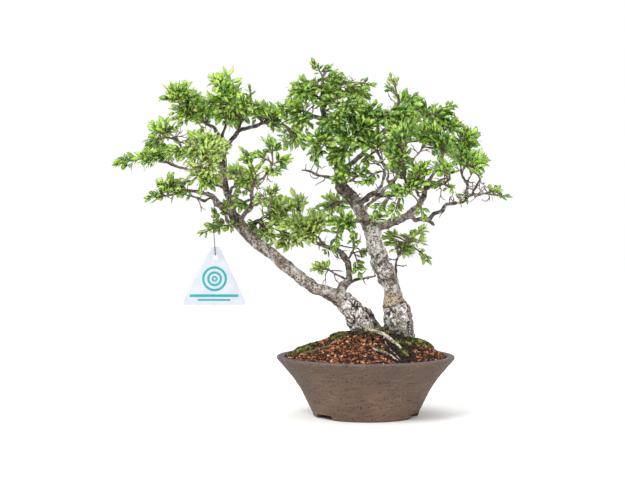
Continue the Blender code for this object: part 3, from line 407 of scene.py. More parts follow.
# %% Limbs and roots
# limb: (parent, where it leaves the parent, [(x, height, depth, radius), ...])
LIMBS = {
    "right_trunk": (None, None, [(37, 72, 7, 15), (38, 92, 6, 17.5), (37.5, 105, 4, 16.5), (36, 116, 2, 15.4),
        (34, 123, 0, 13.5), (31, 131, -2, 11), (31, 140, -4, 10.3), (27, 151, -6, 9.2), (20.5, 165, -7, 10.6),
        (16, 180, -7, 9.6), (10.6, 195, -5, 9.0), (6, 210, -2, 9.4), (2, 221, 1, 7.8), (-4.5, 231, 4, 7),
        (-11, 240, 7, 7), (-19, 251, 10, 7.3), (-27, 262, 12, 7), (-30, 276, 12, 5.5), (-33, 290, 10, 5),
        (-40, 310, 6, 4.5), (-45, 330, 2, 4), (-48, 350, 0, 3.3), (-49, 370, -1, 2.4), (-48, 382, 1, 1.4)]),
    "left_trunk": (None, None, [(1, 74, 2, 11), (-3, 97, 0, 12.2), (-10, 112, -3, 12.5), (-18, 124, -5, 11.5),
        (-28, 134, -8, 10), (-40, 140.5, -10, 8), (-50, 143, -12, 6.8), (-60, 148, -13, 7), (-70, 155, -14, 6.6),
        (-80, 163.5, -14, 6.5), (-90, 171.5, -14, 7), (-100, 180, -13, 6.5), (-110, 188, -11, 6.5),
        (-120, 195, -9, 6.6), (-130, 204, -6, 6.8), (-138, 212, -4, 7), (-144, 221, -2, 7), (-150, 229, 0, 5.6)]),
    "root_crown": ("left_trunk", (-3, 93), [(12, 91, 4, 10), (36, 91, 6, 11)]),
    "back_root": ("left_trunk", (-6, 121), [(0, 121, 4, 3.6), (8, 112, 10, 3.2), (15, 101, 14, 3.4),
        (18, 93, 12, 3)]),
    "middle_trunk": ("left_trunk", (-27, 135), [(-25.5, 147, 0, 5.4), (-20, 155, 4, 4.2), (-18.5, 166, 8, 3.7),
        (-20, 176, 12, 3.6), (-26, 184, 16, 3.4), (-34, 190, 19, 3), (-46, 193, 22, 2.6), (-57, 197, 24, 2.3),
        (-66, 202, 26, 2.1), (-76, 204.5, 27, 1.9), (-89, 207.5, 28, 1.4)]),
    "middle_arm": ("middle_trunk", (-20, 153), [(-10, 155, 0, 1.9), (2, 158.5, -4, 1.7), (12, 160.5, -7, 1.4)]),
    "middle_low": ("middle_trunk", (-20, 155), [(-28, 159, -2, 1.5), (-37, 163, -6, 1.3), (-43, 166, -10, 1.1)]),
    "middle_up": ("middle_trunk", (-20, 176), [(-16, 185, 2, 1.4), (-14, 191, -5, 1.1)]),
    "middle_cross": ("middle_trunk", (-34, 190), [(-28, 194, 12, 1.0), (-18, 192, 8, 1.0), (-8, 190, 5, 1.0),
        (-4, 179, 2, 0.9)]),
    "middle_front": ("middle_trunk", (-46, 193), [(-52, 200, 10, 1.6), (-56, 206, -2, 1.3), (-58, 210, -10, 1.1)]),
    "middle_back": ("middle_trunk", (-66, 202), [(-71, 211, 38, 1.5), (-76, 220, 46, 1.1)]),
    "left_rise": ("left_trunk", (-149, 227), [(-152, 245, 2, 4.6), (-158, 258, 3, 4.2), (-160, 268, 4, 4),
        (-160, 280, 4, 3.6), (-160, 292, 4, 3.3), (-158, 305, 5, 2.9)]),
    "left_top_right": ("left_rise", (-158, 304), [(-151, 314, 9, 2.6), (-140, 324, 14, 2.4), (-130, 328, 18, 2.2),
        (-118, 331, 22, 2), (-106, 332, 24, 1.6), (-94, 331, 26, 1.2)]),
    "left_top_left": ("left_rise", (-158, 304), [(-163, 317, 0, 2.5), (-170, 325, -5, 2.2), (-180, 331, -11, 2),
        (-190, 334, -16, 1.7), (-197, 337, -20, 1.3)]),
    "left_top_middle": ("left_top_left", (-162, 315), [(-158, 332, 8, 1.9), (-157, 347, 10, 1.6),
        (-159, 364, 12, 1.2)]),
    "left_top_front": ("left_top_right", (-146, 319), [(-139, 334, 4, 1.7), (-134, 344, 0, 1.4),
        (-130, 350, -4, 1.2)]),
    "left_low": ("left_trunk", (-149, 227), [(-160, 236.5, -12, 4.3), (-166, 241, -16, 3.8), (-172, 247, -20, 3.3),
        (-180, 253.5, -22, 2.7)]),
    "left_low_front": ("left_low", (-174, 247), [(-183, 245, -30, 1.8), (-190, 247.5, -35, 1.4),
        (-197, 250, -39, 1.2)]),
    "left_low_out": ("left_low", (-178, 251), [(-190, 256, -26, 2.2), (-203, 256, -30, 2), (-215, 253, -34, 1.6),
        (-228, 250, -38, 1.2)]),
    "left_middle_out": ("left_rise", (-160, 270), [(-175, 274, 4, 2.3), (-195, 280, 10, 2), (-210, 282, 14, 1.8),
        (-228, 288, 18, 1.5), (-242, 291, 20, 1.2)]),
    "left_high_out": ("left_rise", (-160, 290), [(-170, 297, 14, 2), (-185, 304, 22, 1.8), (-205, 310, 30, 1.6),
        (-217, 314, 34, 1.4), (-226, 317, 37, 1.2)]),
    "left_middle_front": ("left_rise", (-157, 256), [(-168, 264, -18, 2), (-177, 271, -32, 1.7),
        (-184, 278, -44, 1.4), (-188, 282, -50, 1.2)]),
    "left_high_front": ("left_rise", (-160, 284), [(-170, 295, -14, 1.8), (-178, 302, -26, 1.4),
        (-183, 306, -33, 1.2)]),
    "left_inner_back": ("left_rise", (-156, 253), [(-148, 261, 20, 2.1), (-142, 267, 40, 1.7), (-139, 271, 56, 1.2)]),
    "left_outer_back": ("left_rise", (-160, 278), [(-167, 289, 22, 1.9), (-176, 299, 42, 1.6), (-181, 305, 54, 1.2)]),
    "left_inner": ("left_trunk", (-142, 218), [(-137, 229, -14, 2.9), (-132, 237, -20, 2.6), (-129, 249, -26, 2.3),
        (-127, 261, -30, 1.9), (-124, 270, -33, 1.3)]),
    "left_inner_high": ("left_inner", (-127, 261), [(-115, 273, -40, 1.6), (-108, 280, -46, 1.4),
        (-105, 287, -50, 1.2)]),
    "left_inner_front": ("left_inner", (-131, 239), [(-120, 242, -36, 1.7), (-112, 244, -45, 1.4),
        (-106, 248, -51, 1.2)]),
    "left_inner_low": ("left_trunk", (-130, 204), [(-127, 214, 2, 2.2), (-122, 222, 8, 1.9), (-114, 227, 14, 1.6),
        (-107, 229, 18, 1.2)]),
    "left_under": ("left_trunk", (-140, 214), [(-149, 216, -9, 1.9), (-156, 217, -7, 1.5), (-162, 216, -5, 1.2)]),
    "right_arm": ("right_trunk", (6, 211), [(20, 216.5, -4, 5.1), (30, 220.5, -7, 4.9), (40, 224.5, -10, 4.8),
        (50, 230, -13, 4.5), (58, 237, -16, 3.9), (64, 246.5, -18, 3.4), (67, 256, -20, 3), (69, 263, -22, 2.6)]),
    "right_arm_front": ("right_arm", (67, 257), [(80, 263, -33, 1.8), (90, 266, -41, 1.5), (96, 271, -46, 1.2)]),
    "right_arm_up": ("right_arm", (69, 261), [(75, 273, -24, 1.9), (83, 283, -28, 1.6), (87, 291, -30, 1.2)]),
    "right_arm_inner": ("right_arm", (62, 245), [(58, 254, -32, 1.6), (56, 262, -41, 1.2)]),
    "right_reach": ("right_arm", (39, 222), [(48, 226, -4, 3), (58, 224, 2, 2.7), (70, 223, 6, 2.6),
        (80, 229, 9, 2.5), (88, 236, 11, 2.3), (96, 241, 13, 2.2), (105, 241, 15, 2), (113, 246, 17, 1.8),
        (122, 251, 20, 1.6), (133, 252.5, 23, 1.4), (142, 251.5, 25, 1.2)]),
    "right_stub": ("right_reach", (70, 223), [(75, 221, 3, 2), (78, 217, 1, 1.5)]),
    "right_reach_back": ("right_reach", (113, 246), [(114, 256, 26, 1.7), (116, 267, 34, 1.4), (119, 274, 38, 1.2)]),
    "right_reach_front": ("right_reach", (120, 250), [(125, 262, 12, 1.5), (130, 271, 7, 1.2)]),
    "right_reach_high": ("right_reach_back", (114, 262), [(109, 275, 44, 1.5), (106, 286, 51, 1.2)]),
    "right_front": ("right_trunk", (-9, 238), [(2, 248, -8, 3.2), (12, 253, -16, 3), (24, 252, -24, 2.7),
        (37, 252, -31, 2.3), (49, 254, -37, 1.4)]),
    "right_front_up": ("right_front", (10, 252), [(18, 264, -22, 2), (22, 278, -26, 1.8), (18, 291, -28, 1.5),
        (12, 300, -30, 1.2)]),
    "right_front_middle": ("right_front", (29, 252), [(33, 267, -40, 1.7), (40, 279, -47, 1.4), (41, 286, -50, 1.2)]),
    "right_shoulder": ("right_trunk", (-29, 270), [(-18, 284, 10, 3.2), (-4, 298, 18, 2.8), (10, 312, 26, 2.5),
        (24, 328, 32, 2.1), (33, 344, 36, 1.7), (37, 356, 38, 1.4), (35, 366, 39, 1.2)]),
    "right_shoulder_out": ("right_shoulder", (18, 321), [(38, 328, 40, 1.8), (58, 338, 46, 1.6), (74, 344, 50, 1.4),
        (83, 347, 51, 1.2)]),
    "right_shoulder_low": ("right_shoulder", (4, 306), [(28, 308, 34, 1.9), (52, 312, 44, 1.7), (74, 318, 52, 1.4),
        (87, 323, 55, 1.2)]),
    "right_shoulder_front": ("right_shoulder", (-4, 298), [(0, 317, 4, 1.7), (4, 330, -8, 1.4), (7, 339, -15, 1.2)]),
    "right_back": ("right_trunk", (-5, 232), [(10, 246, 24, 2.6), (26, 262, 42, 2.3), (42, 278, 58, 2),
        (55, 292, 69, 1.6), (63, 304, 75, 1.2)]),
    "right_back_inner": ("right_back", (26, 262), [(24, 279, 60, 1.7), (17, 294, 72, 1.4), (12, 302, 76, 1.2)]),
    "top_left_front": ("right_trunk", (-46, 335), [(-58, 340, -12, 1.9), (-66, 344, -18, 1.5), (-71, 346, -21, 1.2)]),
    "top_left_low": ("right_trunk", (-40, 311), [(-49, 309, -16, 1.8), (-56, 309, -30, 1.2)]),
    "top_left_high": ("right_trunk", (-49, 356), [(-59, 365, -10, 1.6), (-68, 372, -15, 1.2)]),
    "top_front": ("right_trunk", (-47, 344), [(-37, 351, -14, 1.6), (-29, 356, -22, 1.2)]),
    "top_back": ("right_trunk", (-49, 362), [(-38, 370, 14, 1.6), (-27, 376, 24, 1.3), (-20, 378, 28, 1.1)]),
    "top_right_front": ("right_trunk", (-36, 299), [(-24, 305, -15, 1.7), (-15, 312, -25, 1.2)]),
    "right_low": ("right_trunk", (31.5, 136), [(34, 148, 8, 1.7), (35, 160, 12, 1.5), (34.5, 173, 16, 1.3),
        (38, 187, 24, 1.1), (45, 197, 30, 1.0)]),
    "inner_front": ("right_trunk", (1, 222), [(-11, 222, -14, 1.9), (-20, 220, -21, 1.5), (-26, 218, -25, 1.2)]),
    "inner_back": ("right_trunk", (-11, 241), [(-22, 243, 14, 1.8), (-33, 242, 25, 1.4), (-41, 239, 32, 1.2)]),
    "inner_short": ("right_trunk", (2, 221), [(6, 225, -14, 1.4), (9, 226, -19, 1.1)]),
    "inner_high": ("right_trunk", (-26, 261), [(-18, 268, -15, 1.8), (-9, 272, -26, 1.5), (-3, 275, -32, 1.2)]),
    "bare_twig": ("right_trunk", (-29, 268), [(-40, 270, -1, 2), (-52, 273.5, -5, 1.6), (-62, 277.5, -8, 1.4),
        (-73, 279.5, -11, 0.9)]),
    "bare_twig_fork": ("bare_twig", (-55, 275), [(-53.5, 284, -9, 1.1), (-55, 291, -12, 0.8)]),
}

# root: (limb it leaves, the number of that limb's point, [(x, height, radius), ...] on the soil)
ROOTS = {
    "root_long": ("left_trunk", 1, [(0.6, 96, 2.4), (11.5, 93.5, 2.4), (22.5, 88.5, 2.2), (33, 82, 2.0),
        (39.5, 76.5, 1.5)]),
    "root_front": ("left_trunk", 1, [(17, 89, 1.1), (22.5, 83.5, 1.0), (28, 75.5, 0.9), (37, 66.5, 0.9)]),
    "root_low": ("root_crown", 1, [(8.5, 76.5, 1.7), (14, 74, 1.7), (22, 71.5, 1.8), (29, 68, 1.5),
        (35.5, 63.8, 1.1)]),
    "root_left": ("left_trunk", 1, [(-14, 86, 1.5), (-26, 83, 1.5), (-37, 79.5, 1.7), (-49, 77, 1.7), (-58, 74, 1.5),
        (-70, 70.5, 1.1)]),
}
# how far the readings of a root stand off the soil
ROOT_LIFT = {"root_long": [1.6, 1.4, 1.0, 0.6], "root_left": [-4.0, -4.0, -0.9, -0.6, -0.6, -0.8]}
print("limbs:", len(LIMBS), "roots:", len(ROOTS))

# %% [markdown]
# ## From readings to smooth routes
# Straight runs between readings would look like pipework. A Catmull-Rom curve passes through every reading
# and turns smoothly; a little noise across it gives the knots and bends of real wood, and more on thin
# limbs than on the trunks.

# %% Smooth routes
ROUTE_STEP = 0.0016
THINNEST = 0.0002


def limb_readings():
    """The lists with each limb's first point read off its parent."""
    readings = {}
    for name, (parent, leaves_at, listed) in LIMBS.items():
        start = []
        if parent:
            target = Vector(leaves_at)
            nearest = math.inf
            for a, b in zip(readings[parent], readings[parent][1:]):
                run = Vector(b[:2]) - Vector(a[:2])
                share = clamp((target - Vector(a[:2])).dot(run) / run.length_squared)
                at = Vector(a[:3]).lerp(Vector(b[:3]), share)
                away = (at.xy - target).length
                if away < nearest:
                    nearest = away
                    start = [(*at, listed[0][-1])]
        readings[name] = start + listed
    return readings


def smooth_route(rows, step, sway):
    """Catmull-Rom points about every step along (x, y, z, radius) rows, swayed by a share of the radius."""
    rows = np.array(rows)
    ends = np.vstack([2 * rows[0] - rows[1], rows, 2 * rows[-1] - rows[-2]])
    points = []
    for a, b, c, d in zip(ends, ends[1:], ends[2:], ends[3:]):
        count = max(2, round(float(np.linalg.norm(c[:3] - b[:3])) / step))
        for t in np.arange(count) / count:
            points.append(0.5 * (2 * b + (c - a) * t + (2 * a - 5 * b + 4 * c - d) * t ** 2
                                 + (3 * b - a - 3 * c + d) * t ** 3))
    points.append(rows[-1])
    route = np.array(points)
    route[:, 3] = np.maximum(route[:, 3], THINNEST)
    for row in route[2:-1]:
        push = noise.noise_vector(Vector(row[:3]) * 85.0)
        row[:3] += np.array(push) * row[3] * sway
        row[3] *= 1.0 + 0.22 * sway * noise.noise(Vector(row[:3]) * 160.0)
    return route


limb_rows = {name: [(*place(x, height, depth * SPREAD), radius * MM) for x, height, depth, radius in listed]
             for name, listed in limb_readings().items()}
routes = {}
for name, rows in limb_rows.items():
    widest = max(row[3] for row in rows)
    sway = 0.3 if widest > 0.006 else 0.6 if widest > 0.0035 else 1.3
    routes[name] = smooth_route(rows, ROUTE_STEP, sway)
print("limbs:", len(routes), "points:", sum(len(route) for route in routes.values()))

# %% [markdown]
# ## Surface roots
# The roots lie on the soil, so their heights come from the soil's solid: a line of sight from the eye
# meets it where the root shows.

# %% Root routes
ROOT_STEP = 0.0014
ROOT_SWAY = 0.7
# every root stands this far off the soil, and its end dips into it by this much
ROOT_STANDS = 0.7
ROOT_DIP = (0.004, -0.003, -0.004)
DOWN = Vector((0.0, 0.0, -1.0))
soil_mesh = frame["nodes"]["soil"].data
soil_tree = search_tree(soil_mesh)


def on_soil(x, height):
    """Point on the soil's top that the viewer sees at (x, height)."""
    eye = POT_AT + EYE
    spot = soil_tree.ray_cast(eye, (place(x, height, 0.0) - eye).normalized())[0]
    return spot if spot is not None else place(x, height, 0.0)


root_routes = {}
for name, (parent, number, listed) in ROOTS.items():
    rows = [(*limb_rows[parent][number][:3], listed[0][2] * MM)]
    lifts = ROOT_LIFT.get(name, []) + [0.0] * len(listed)
    for (x, height, radius), lift in zip(listed, lifts):
        spot = on_soil(x, height)
        rows.append((spot.x, spot.y, spot.z + (0.5 * radius + ROOT_STANDS + lift) * MM, radius * MM))
    *end, radius = rows[-1]
    rows.append((*(value + move for value, move in zip(end, ROOT_DIP)), radius * 0.6))
    root_routes[name] = smooth_route(rows, ROOT_STEP, ROOT_SWAY)
print("roots:", list(root_routes))

# %% [markdown]
# ## Fused wood
# Rods that only pass through each other leave a hard crease where a limb leaves the trunk. A voxel remesh
# turns them into one skin, and a few smoothing passes make the collar that a real limb has. The thick wood
# gets small voxels so that bark can be carved into it; the thin limbs need fewer.

# %% Remesh the thick wood and the thin limbs
THICK = ["right_trunk", "left_trunk", "root_crown", "back_root", "middle_trunk", "left_rise", "left_low",
         "right_arm", "right_reach", "right_front", "right_shoulder"]
THICK_VOXEL = 0.00090
THIN_VOXEL = 0.00100


def fused(name, paths, resolution, voxel, passes):
    """One closed skin round all the rods."""
    holder = in_scene(name, rods(name, paths, resolution))
    remesh = holder.modifiers.new("skin", "REMESH")
    remesh.mode = "VOXEL"
    remesh.voxel_size = voxel
    relax = holder.modifiers.new("relax", "SMOOTH")
    relax.factor = 0.5
    relax.iterations = passes
    return settled(holder)


thick_paths = [routes[name] for name in THICK] + list(root_routes.values())
thin_paths = [route for name, route in routes.items() if name not in THICK]
thick_wood = fused("thick_wood", thick_paths, 6, THICK_VOXEL, 4)
thin_wood = fused("thin_wood", thin_paths, 3, THIN_VOXEL, 2)
print("corners:", len(thick_wood.vertices), len(thin_wood.vertices))

# %% [markdown]
# ## Bark
# Old elm bark breaks into plates near the ground and is smooth, pale and pitted higher up. A few facts
# decide it at each spot: how thick the limb is there, how much it breaks into plates, how pale it is, and
# whether it is a root or the right trunk, which carries a bare tan patch. Each corner of the mesh looks them
# up at the nearest point of the routes, then moves in or out by noise: lumps, plates with cracks between
# them, and pits. The same numbers are stored on the mesh, so the colour of a crack lies in the crack: the
# cracks, rings and rim of the patch are painted dark, partly the bark's own dark and partly painted shade.

# %% Facts along the wood
PALE_LIMBS = ("right_front_up", "right_front_middle", "right_back", "right_arm_up")
# how pale the right trunk is at each height in mm
PALE_HEIGHTS = [126, 130, 144, 148, 174, 180, 190, 209, 213, 217, 221, 235, 243]
PALE_AT = [0.80, 0.66, 0.66, 0.63, 0.67, 0.76, 0.86, 0.86, 0.70, 0.70, 0.78, 0.74, 0.40]
# how pale the left trunk is at each x in mm
LEFT_PLACES = [-118, -106, -52, -42, -32, -22, -10]
LEFT_PALE_AT = [0.50, 0.61, 0.62, 0.54, 0.62, 0.84, 0.91]


def wood_facts(name, row):
    """(radius, plates, paleness, may have the patch, is a root) of the bark at one point of a limb."""
    spot = Vector(row[:3]) - POT_AT
    x = spot.x / MM
    z = spot.z / MM
    radius = row[3]
    if name in root_routes:
        return radius, 0.0, 0.40 if name == "root_left" else 0.86, 0.0, 1.0
    plates = 0.0
    pale = min(0.56, 0.30 + radius * 44.0) + (0.24 if name in PALE_LIMBS else 0.0)
    if name == "right_trunk":
        plates = clamp((128.0 - z) / 6.0) + (0.6 if 147.0 < z < 186.0 else 0.0)
        pale = float(np.interp(z, PALE_HEIGHTS, PALE_AT))
    if name == "left_trunk":
        plates = clamp((x + 42.0) / 20.0)
        pale = float(np.interp(x, LEFT_PLACES, LEFT_PALE_AT))
    if name == "middle_trunk":
        pale = 0.66 if z < 152.0 else 0.42
    if name in ("root_crown", "back_root"):
        plates = 0.5
        # the back root is painted paler to lift the shade it lies in: a painted fill light
        pale = 0.30 if name == "root_crown" else 0.62
    return radius, plates, pale, 1.0 if name == "right_trunk" else 0.0, 0.0


facts = []
fact_spots = []
for name, route in (routes | root_routes).items():
    for row in route[::2]:
        facts.append(wood_facts(name, row))
        fact_spots.append(Vector(row[:3]))
fact_tree = KDTree(len(fact_spots))
for number, spot in enumerate(fact_spots):
    fact_tree.insert(spot, number)
fact_tree.balance()


def nearest_facts(spot):
    """Facts of the limb whose surface is nearest, so that a thin limb doesn't claim the trunk."""
    found = fact_tree.find_n(spot, 6)
    best = min(found, key=lambda one: one[2] - facts[one[1]][0])
    return facts[best[1]]


print("facts:", len(facts))

# %% Patch and cracks
# the tan patch: height of its middle in mm where x is 30, its rise along x, and how far down its rim lies
PATCH_HEIGHT = 132.5
PATCH_RISE = 0.30
RIM_BELOW = 8.0


def patch_at(spot):
    """(how tan, how much of the dark rim) of the bare patch at a spot of the right trunk."""
    seen = (spot - POT_AT) / MM
    over = seen.z - PATCH_HEIGHT - PATCH_RISE * (seen.x - 30.0)
    rim = max(0.0, 1.0 - abs(over + RIM_BELOW) / 1.3) * clamp(0.7 + noise.noise(spot * 130.0) * 1.5)
    return clamp(1.6 - abs(over) / 5.5 + noise.noise(spot * 110.0) * 1.1), rim


def cracks_at(spot, plates):
    """(depth of the cracks between plates, depth of the fine cracks, a shade for each plate)."""
    warp = spot + noise.noise_vector(spot * 150.0) * 0.0018 + noise.noise_vector(spot * 420.0) * 0.0006
    gaps, cells = noise.voronoi(Vector((warp.x, warp.y, warp.z * 0.75)) * 150.0)
    patchy = clamp(0.78 + noise.noise(spot * 75.0) * 1.5)
    plate_crack = max(0.0, 1.0 - (gaps[1] - gaps[0]) / 0.24) * min(1.0, plates) * patchy
    gaps = noise.voronoi(Vector((warp.x * 0.8, warp.y, warp.z * 1.5)) * 260.0)[0]
    fine_crack = max(0.0, 1.0 - (gaps[1] - gaps[0]) / 0.12) * max(0.0, noise.noise(spot * 55.0) + 0.28)
    return plate_crack, fine_crack, noise.noise(cells[0] * 3.7) * 0.24


print("cracks at the foot of the right trunk:", cracks_at(place(37, 92, 6), 1.0))

# %% Carve the bark
# between these heights in m, old rings of growth stand out on the trunk
RINGED = (0.145, 0.184)


def bark_at(spot):
    """How far the bark stands out in mm, and its (crack_tone_and_shade, pale, patch, root) for the colours; the first
    is the dark of the cracks, rings and patch rim, partly the bark's own and partly painted shade.
    """
    radius, plates, pale, patch, root = nearest_facts(spot)
    size = min(1.0, radius / 0.009)
    tan, rim = patch_at(spot)
    rim *= patch
    patch *= tan
    plate_crack, fine_crack, shade = cracks_at(spot, plates)
    crack_tone_and_shade = max(plate_crack, fine_crack * 0.8 * (1.0 - patch)) * (1.0 - root * 0.6)
    ring = max(0.0, noise.noise(Vector((spot.x * 25.0, spot.y * 25.0, spot.z * 260.0))) - 0.22)
    if RINGED[0] < spot.z < RINGED[1] and radius > 0.008:
        ring *= 2.0
    lump = noise.noise(spot * 62.0) * 1.0 + noise.noise(spot * 140.0) * 0.62
    rough = noise.noise(spot * 300.0) * 0.55 + noise.noise(spot * 620.0) * 0.34
    move = (lump * (0.30 + 0.8 * size) + rough * (0.55 + 0.45 * size)) * (1.0 - 0.45 * patch)
    move += plates * 0.4 - plate_crack * 1.5 - fine_crack * 0.7 * size * (1.0 - patch)
    move -= ring * 0.8 * size + rim * 0.7
    # the dark of the cracks, the rings and the patch's rim is partly the bark's own and partly painted shade
    dark = min(1.0, crack_tone_and_shade + ring * 0.5 + rim * 0.8)
    return move * (1.0 - 0.5 * root), (dark, pale + shade * max(plates, 0.25), patch, root)


def carve_bark(mesh):
    """Move each corner of the wood by its bark, and store what the colours need."""
    spots = vectors_of(mesh.vertices, "co")
    ways = vectors_of(mesh.vertex_normals, "vector")
    moves, told = zip(*(bark_at(Vector(spot)) for spot in spots))
    spots += ways * (np.array(moves) * MM)[:, None]
    mesh.vertices.foreach_set("co", spots.ravel())
    for column, name in zip(np.transpose(told), ("crack_tone_and_shade", "pale", "patch", "root")):
        tell(mesh, name, column)
    mesh.shade_smooth()
    mesh.update()


carve_bark(thick_wood)
carve_bark(thin_wood)
print("carved:", len(thick_wood.polygons) + len(thin_wood.polygons), "faces")

# %% [markdown]
# ## The colour of bark
# Pale bark is a grey that turns almost white where lichen sits on it, with dark pits. Young limbs are a dark
# brown grey. One ramp runs from dark to pale, and the stored paleness with noise on top picks the place on
# it; cracks, whose dark is partly the bark's own and partly painted shade, pits, the tan patch and the green
# foot are laid over it.

# %% Bark finish and the two pieces of wood


def bark_recipe(where):
    broad = where.noise(60.0, 5.0)
    small = where.noise(420.0)
    pale, tan, root, crack_tone_and_shade = (where.stored(name) for name in ("pale", "patch", "root", "crack_tone_and_shade"))
    stir = where.node("TexNoise", "Color", {"Vector": where, "Scale": 240.0, "Detail": 2.0})
    warped = where.node("VectorMath", "Vector", {0: stir, 1: (0.005, 0.005, 0.005), 2: where},
                        operation="MULTIPLY_ADD")
    plate = warped.voronoi("Color", 160.0).axis("X")
    edge = warped.voronoi("Distance", 160.0, feature="DISTANCE_TO_EDGE")
    pick = (broad - 0.5) * 0.35 + (small - 0.5) * 0.42 + (plate - 0.5) * 0.30 + pale
    colour = pick.ramp((0.0, paint(30, 24, 20)), (0.25, paint(66, 55, 49)), (0.5, paint(112, 100, 91)),
                       (0.74, paint(166, 157, 149)), (1.0, paint(224, 220, 215)))
    rosy = where.noise(95.0, 3.0).band(0.52, 0.66) * 0.28
    bare = broad.band(0.30, 0.60).mix(paint(134, 112, 88), paint(198, 180, 150))
    colour = ((tan + (broad - 0.5)).band(0.20, 0.45) * 0.9).mix(covered(colour, (rosy, (138, 104, 88))), bare)
    skin = (pale * 1.4 + (small - 1.0)).mix(paint(92, 76, 60), paint(216, 207, 188))
    colour = (root * 0.9).mix(colour, skin)
    specks = where.voronoi("Distance", 330.0).band(0.33, 0.22) * where.noise(120.0, 2.0).band(0.36, 0.46)
    pits = (where.noise(480.0, 3.0) + pale.band(0.76, 0.86) * 0.035).band(0.595, 0.63) * 0.9
    seams = edge.band(0.07, 0.02) * where.noise(90.0, 3.0).band(0.44, 0.56)
    lichen = where.noise(170.0, 5.0).band(0.52, 0.64) * (pale - (tan + root))
    foot = where.axis("Z").band(0.114, 0.088) * broad.band(0.40, 0.60)
    # cracks, rings and the patch's rim get a dark that is partly the bark's own and partly painted shade
    colour = covered(colour, (specks * 0.9, (38, 30, 27)), (pits, (44, 34, 30)),
                     (crack_tone_and_shade.band(0.15, 0.6) * 0.92, (34, 26, 21)), (seams * (0.85 - root), (38, 30, 25)),
                     (lichen.math("MAXIMUM") * 0.7, (222, 221, 217)), (foot * 0.7, (84, 90, 52)))
    relief = (small + where.noise(1100.0, 3.0) * 0.5) - pits.math("MAXIMUM", specks)
    return colour, relief, 0.0006


bark = finish("bark", bark_recipe, 0.88, Specular_IOR_Level=0.25)
add_piece("trunks_and_arms", thick_wood, bark, "bark", "tree")
add_piece("thin_limbs", thin_wood, bark, "bark", "tree")

# %% [markdown]
# ## Where the leaves grow
# Each limb with leaves has tufts: the spot of a tuft as the viewer sees it, and how far its shoots reach, in
# millimetres. A twig runs from the limb's tip to each tuft, and shoots fan out from the twig's outer half.

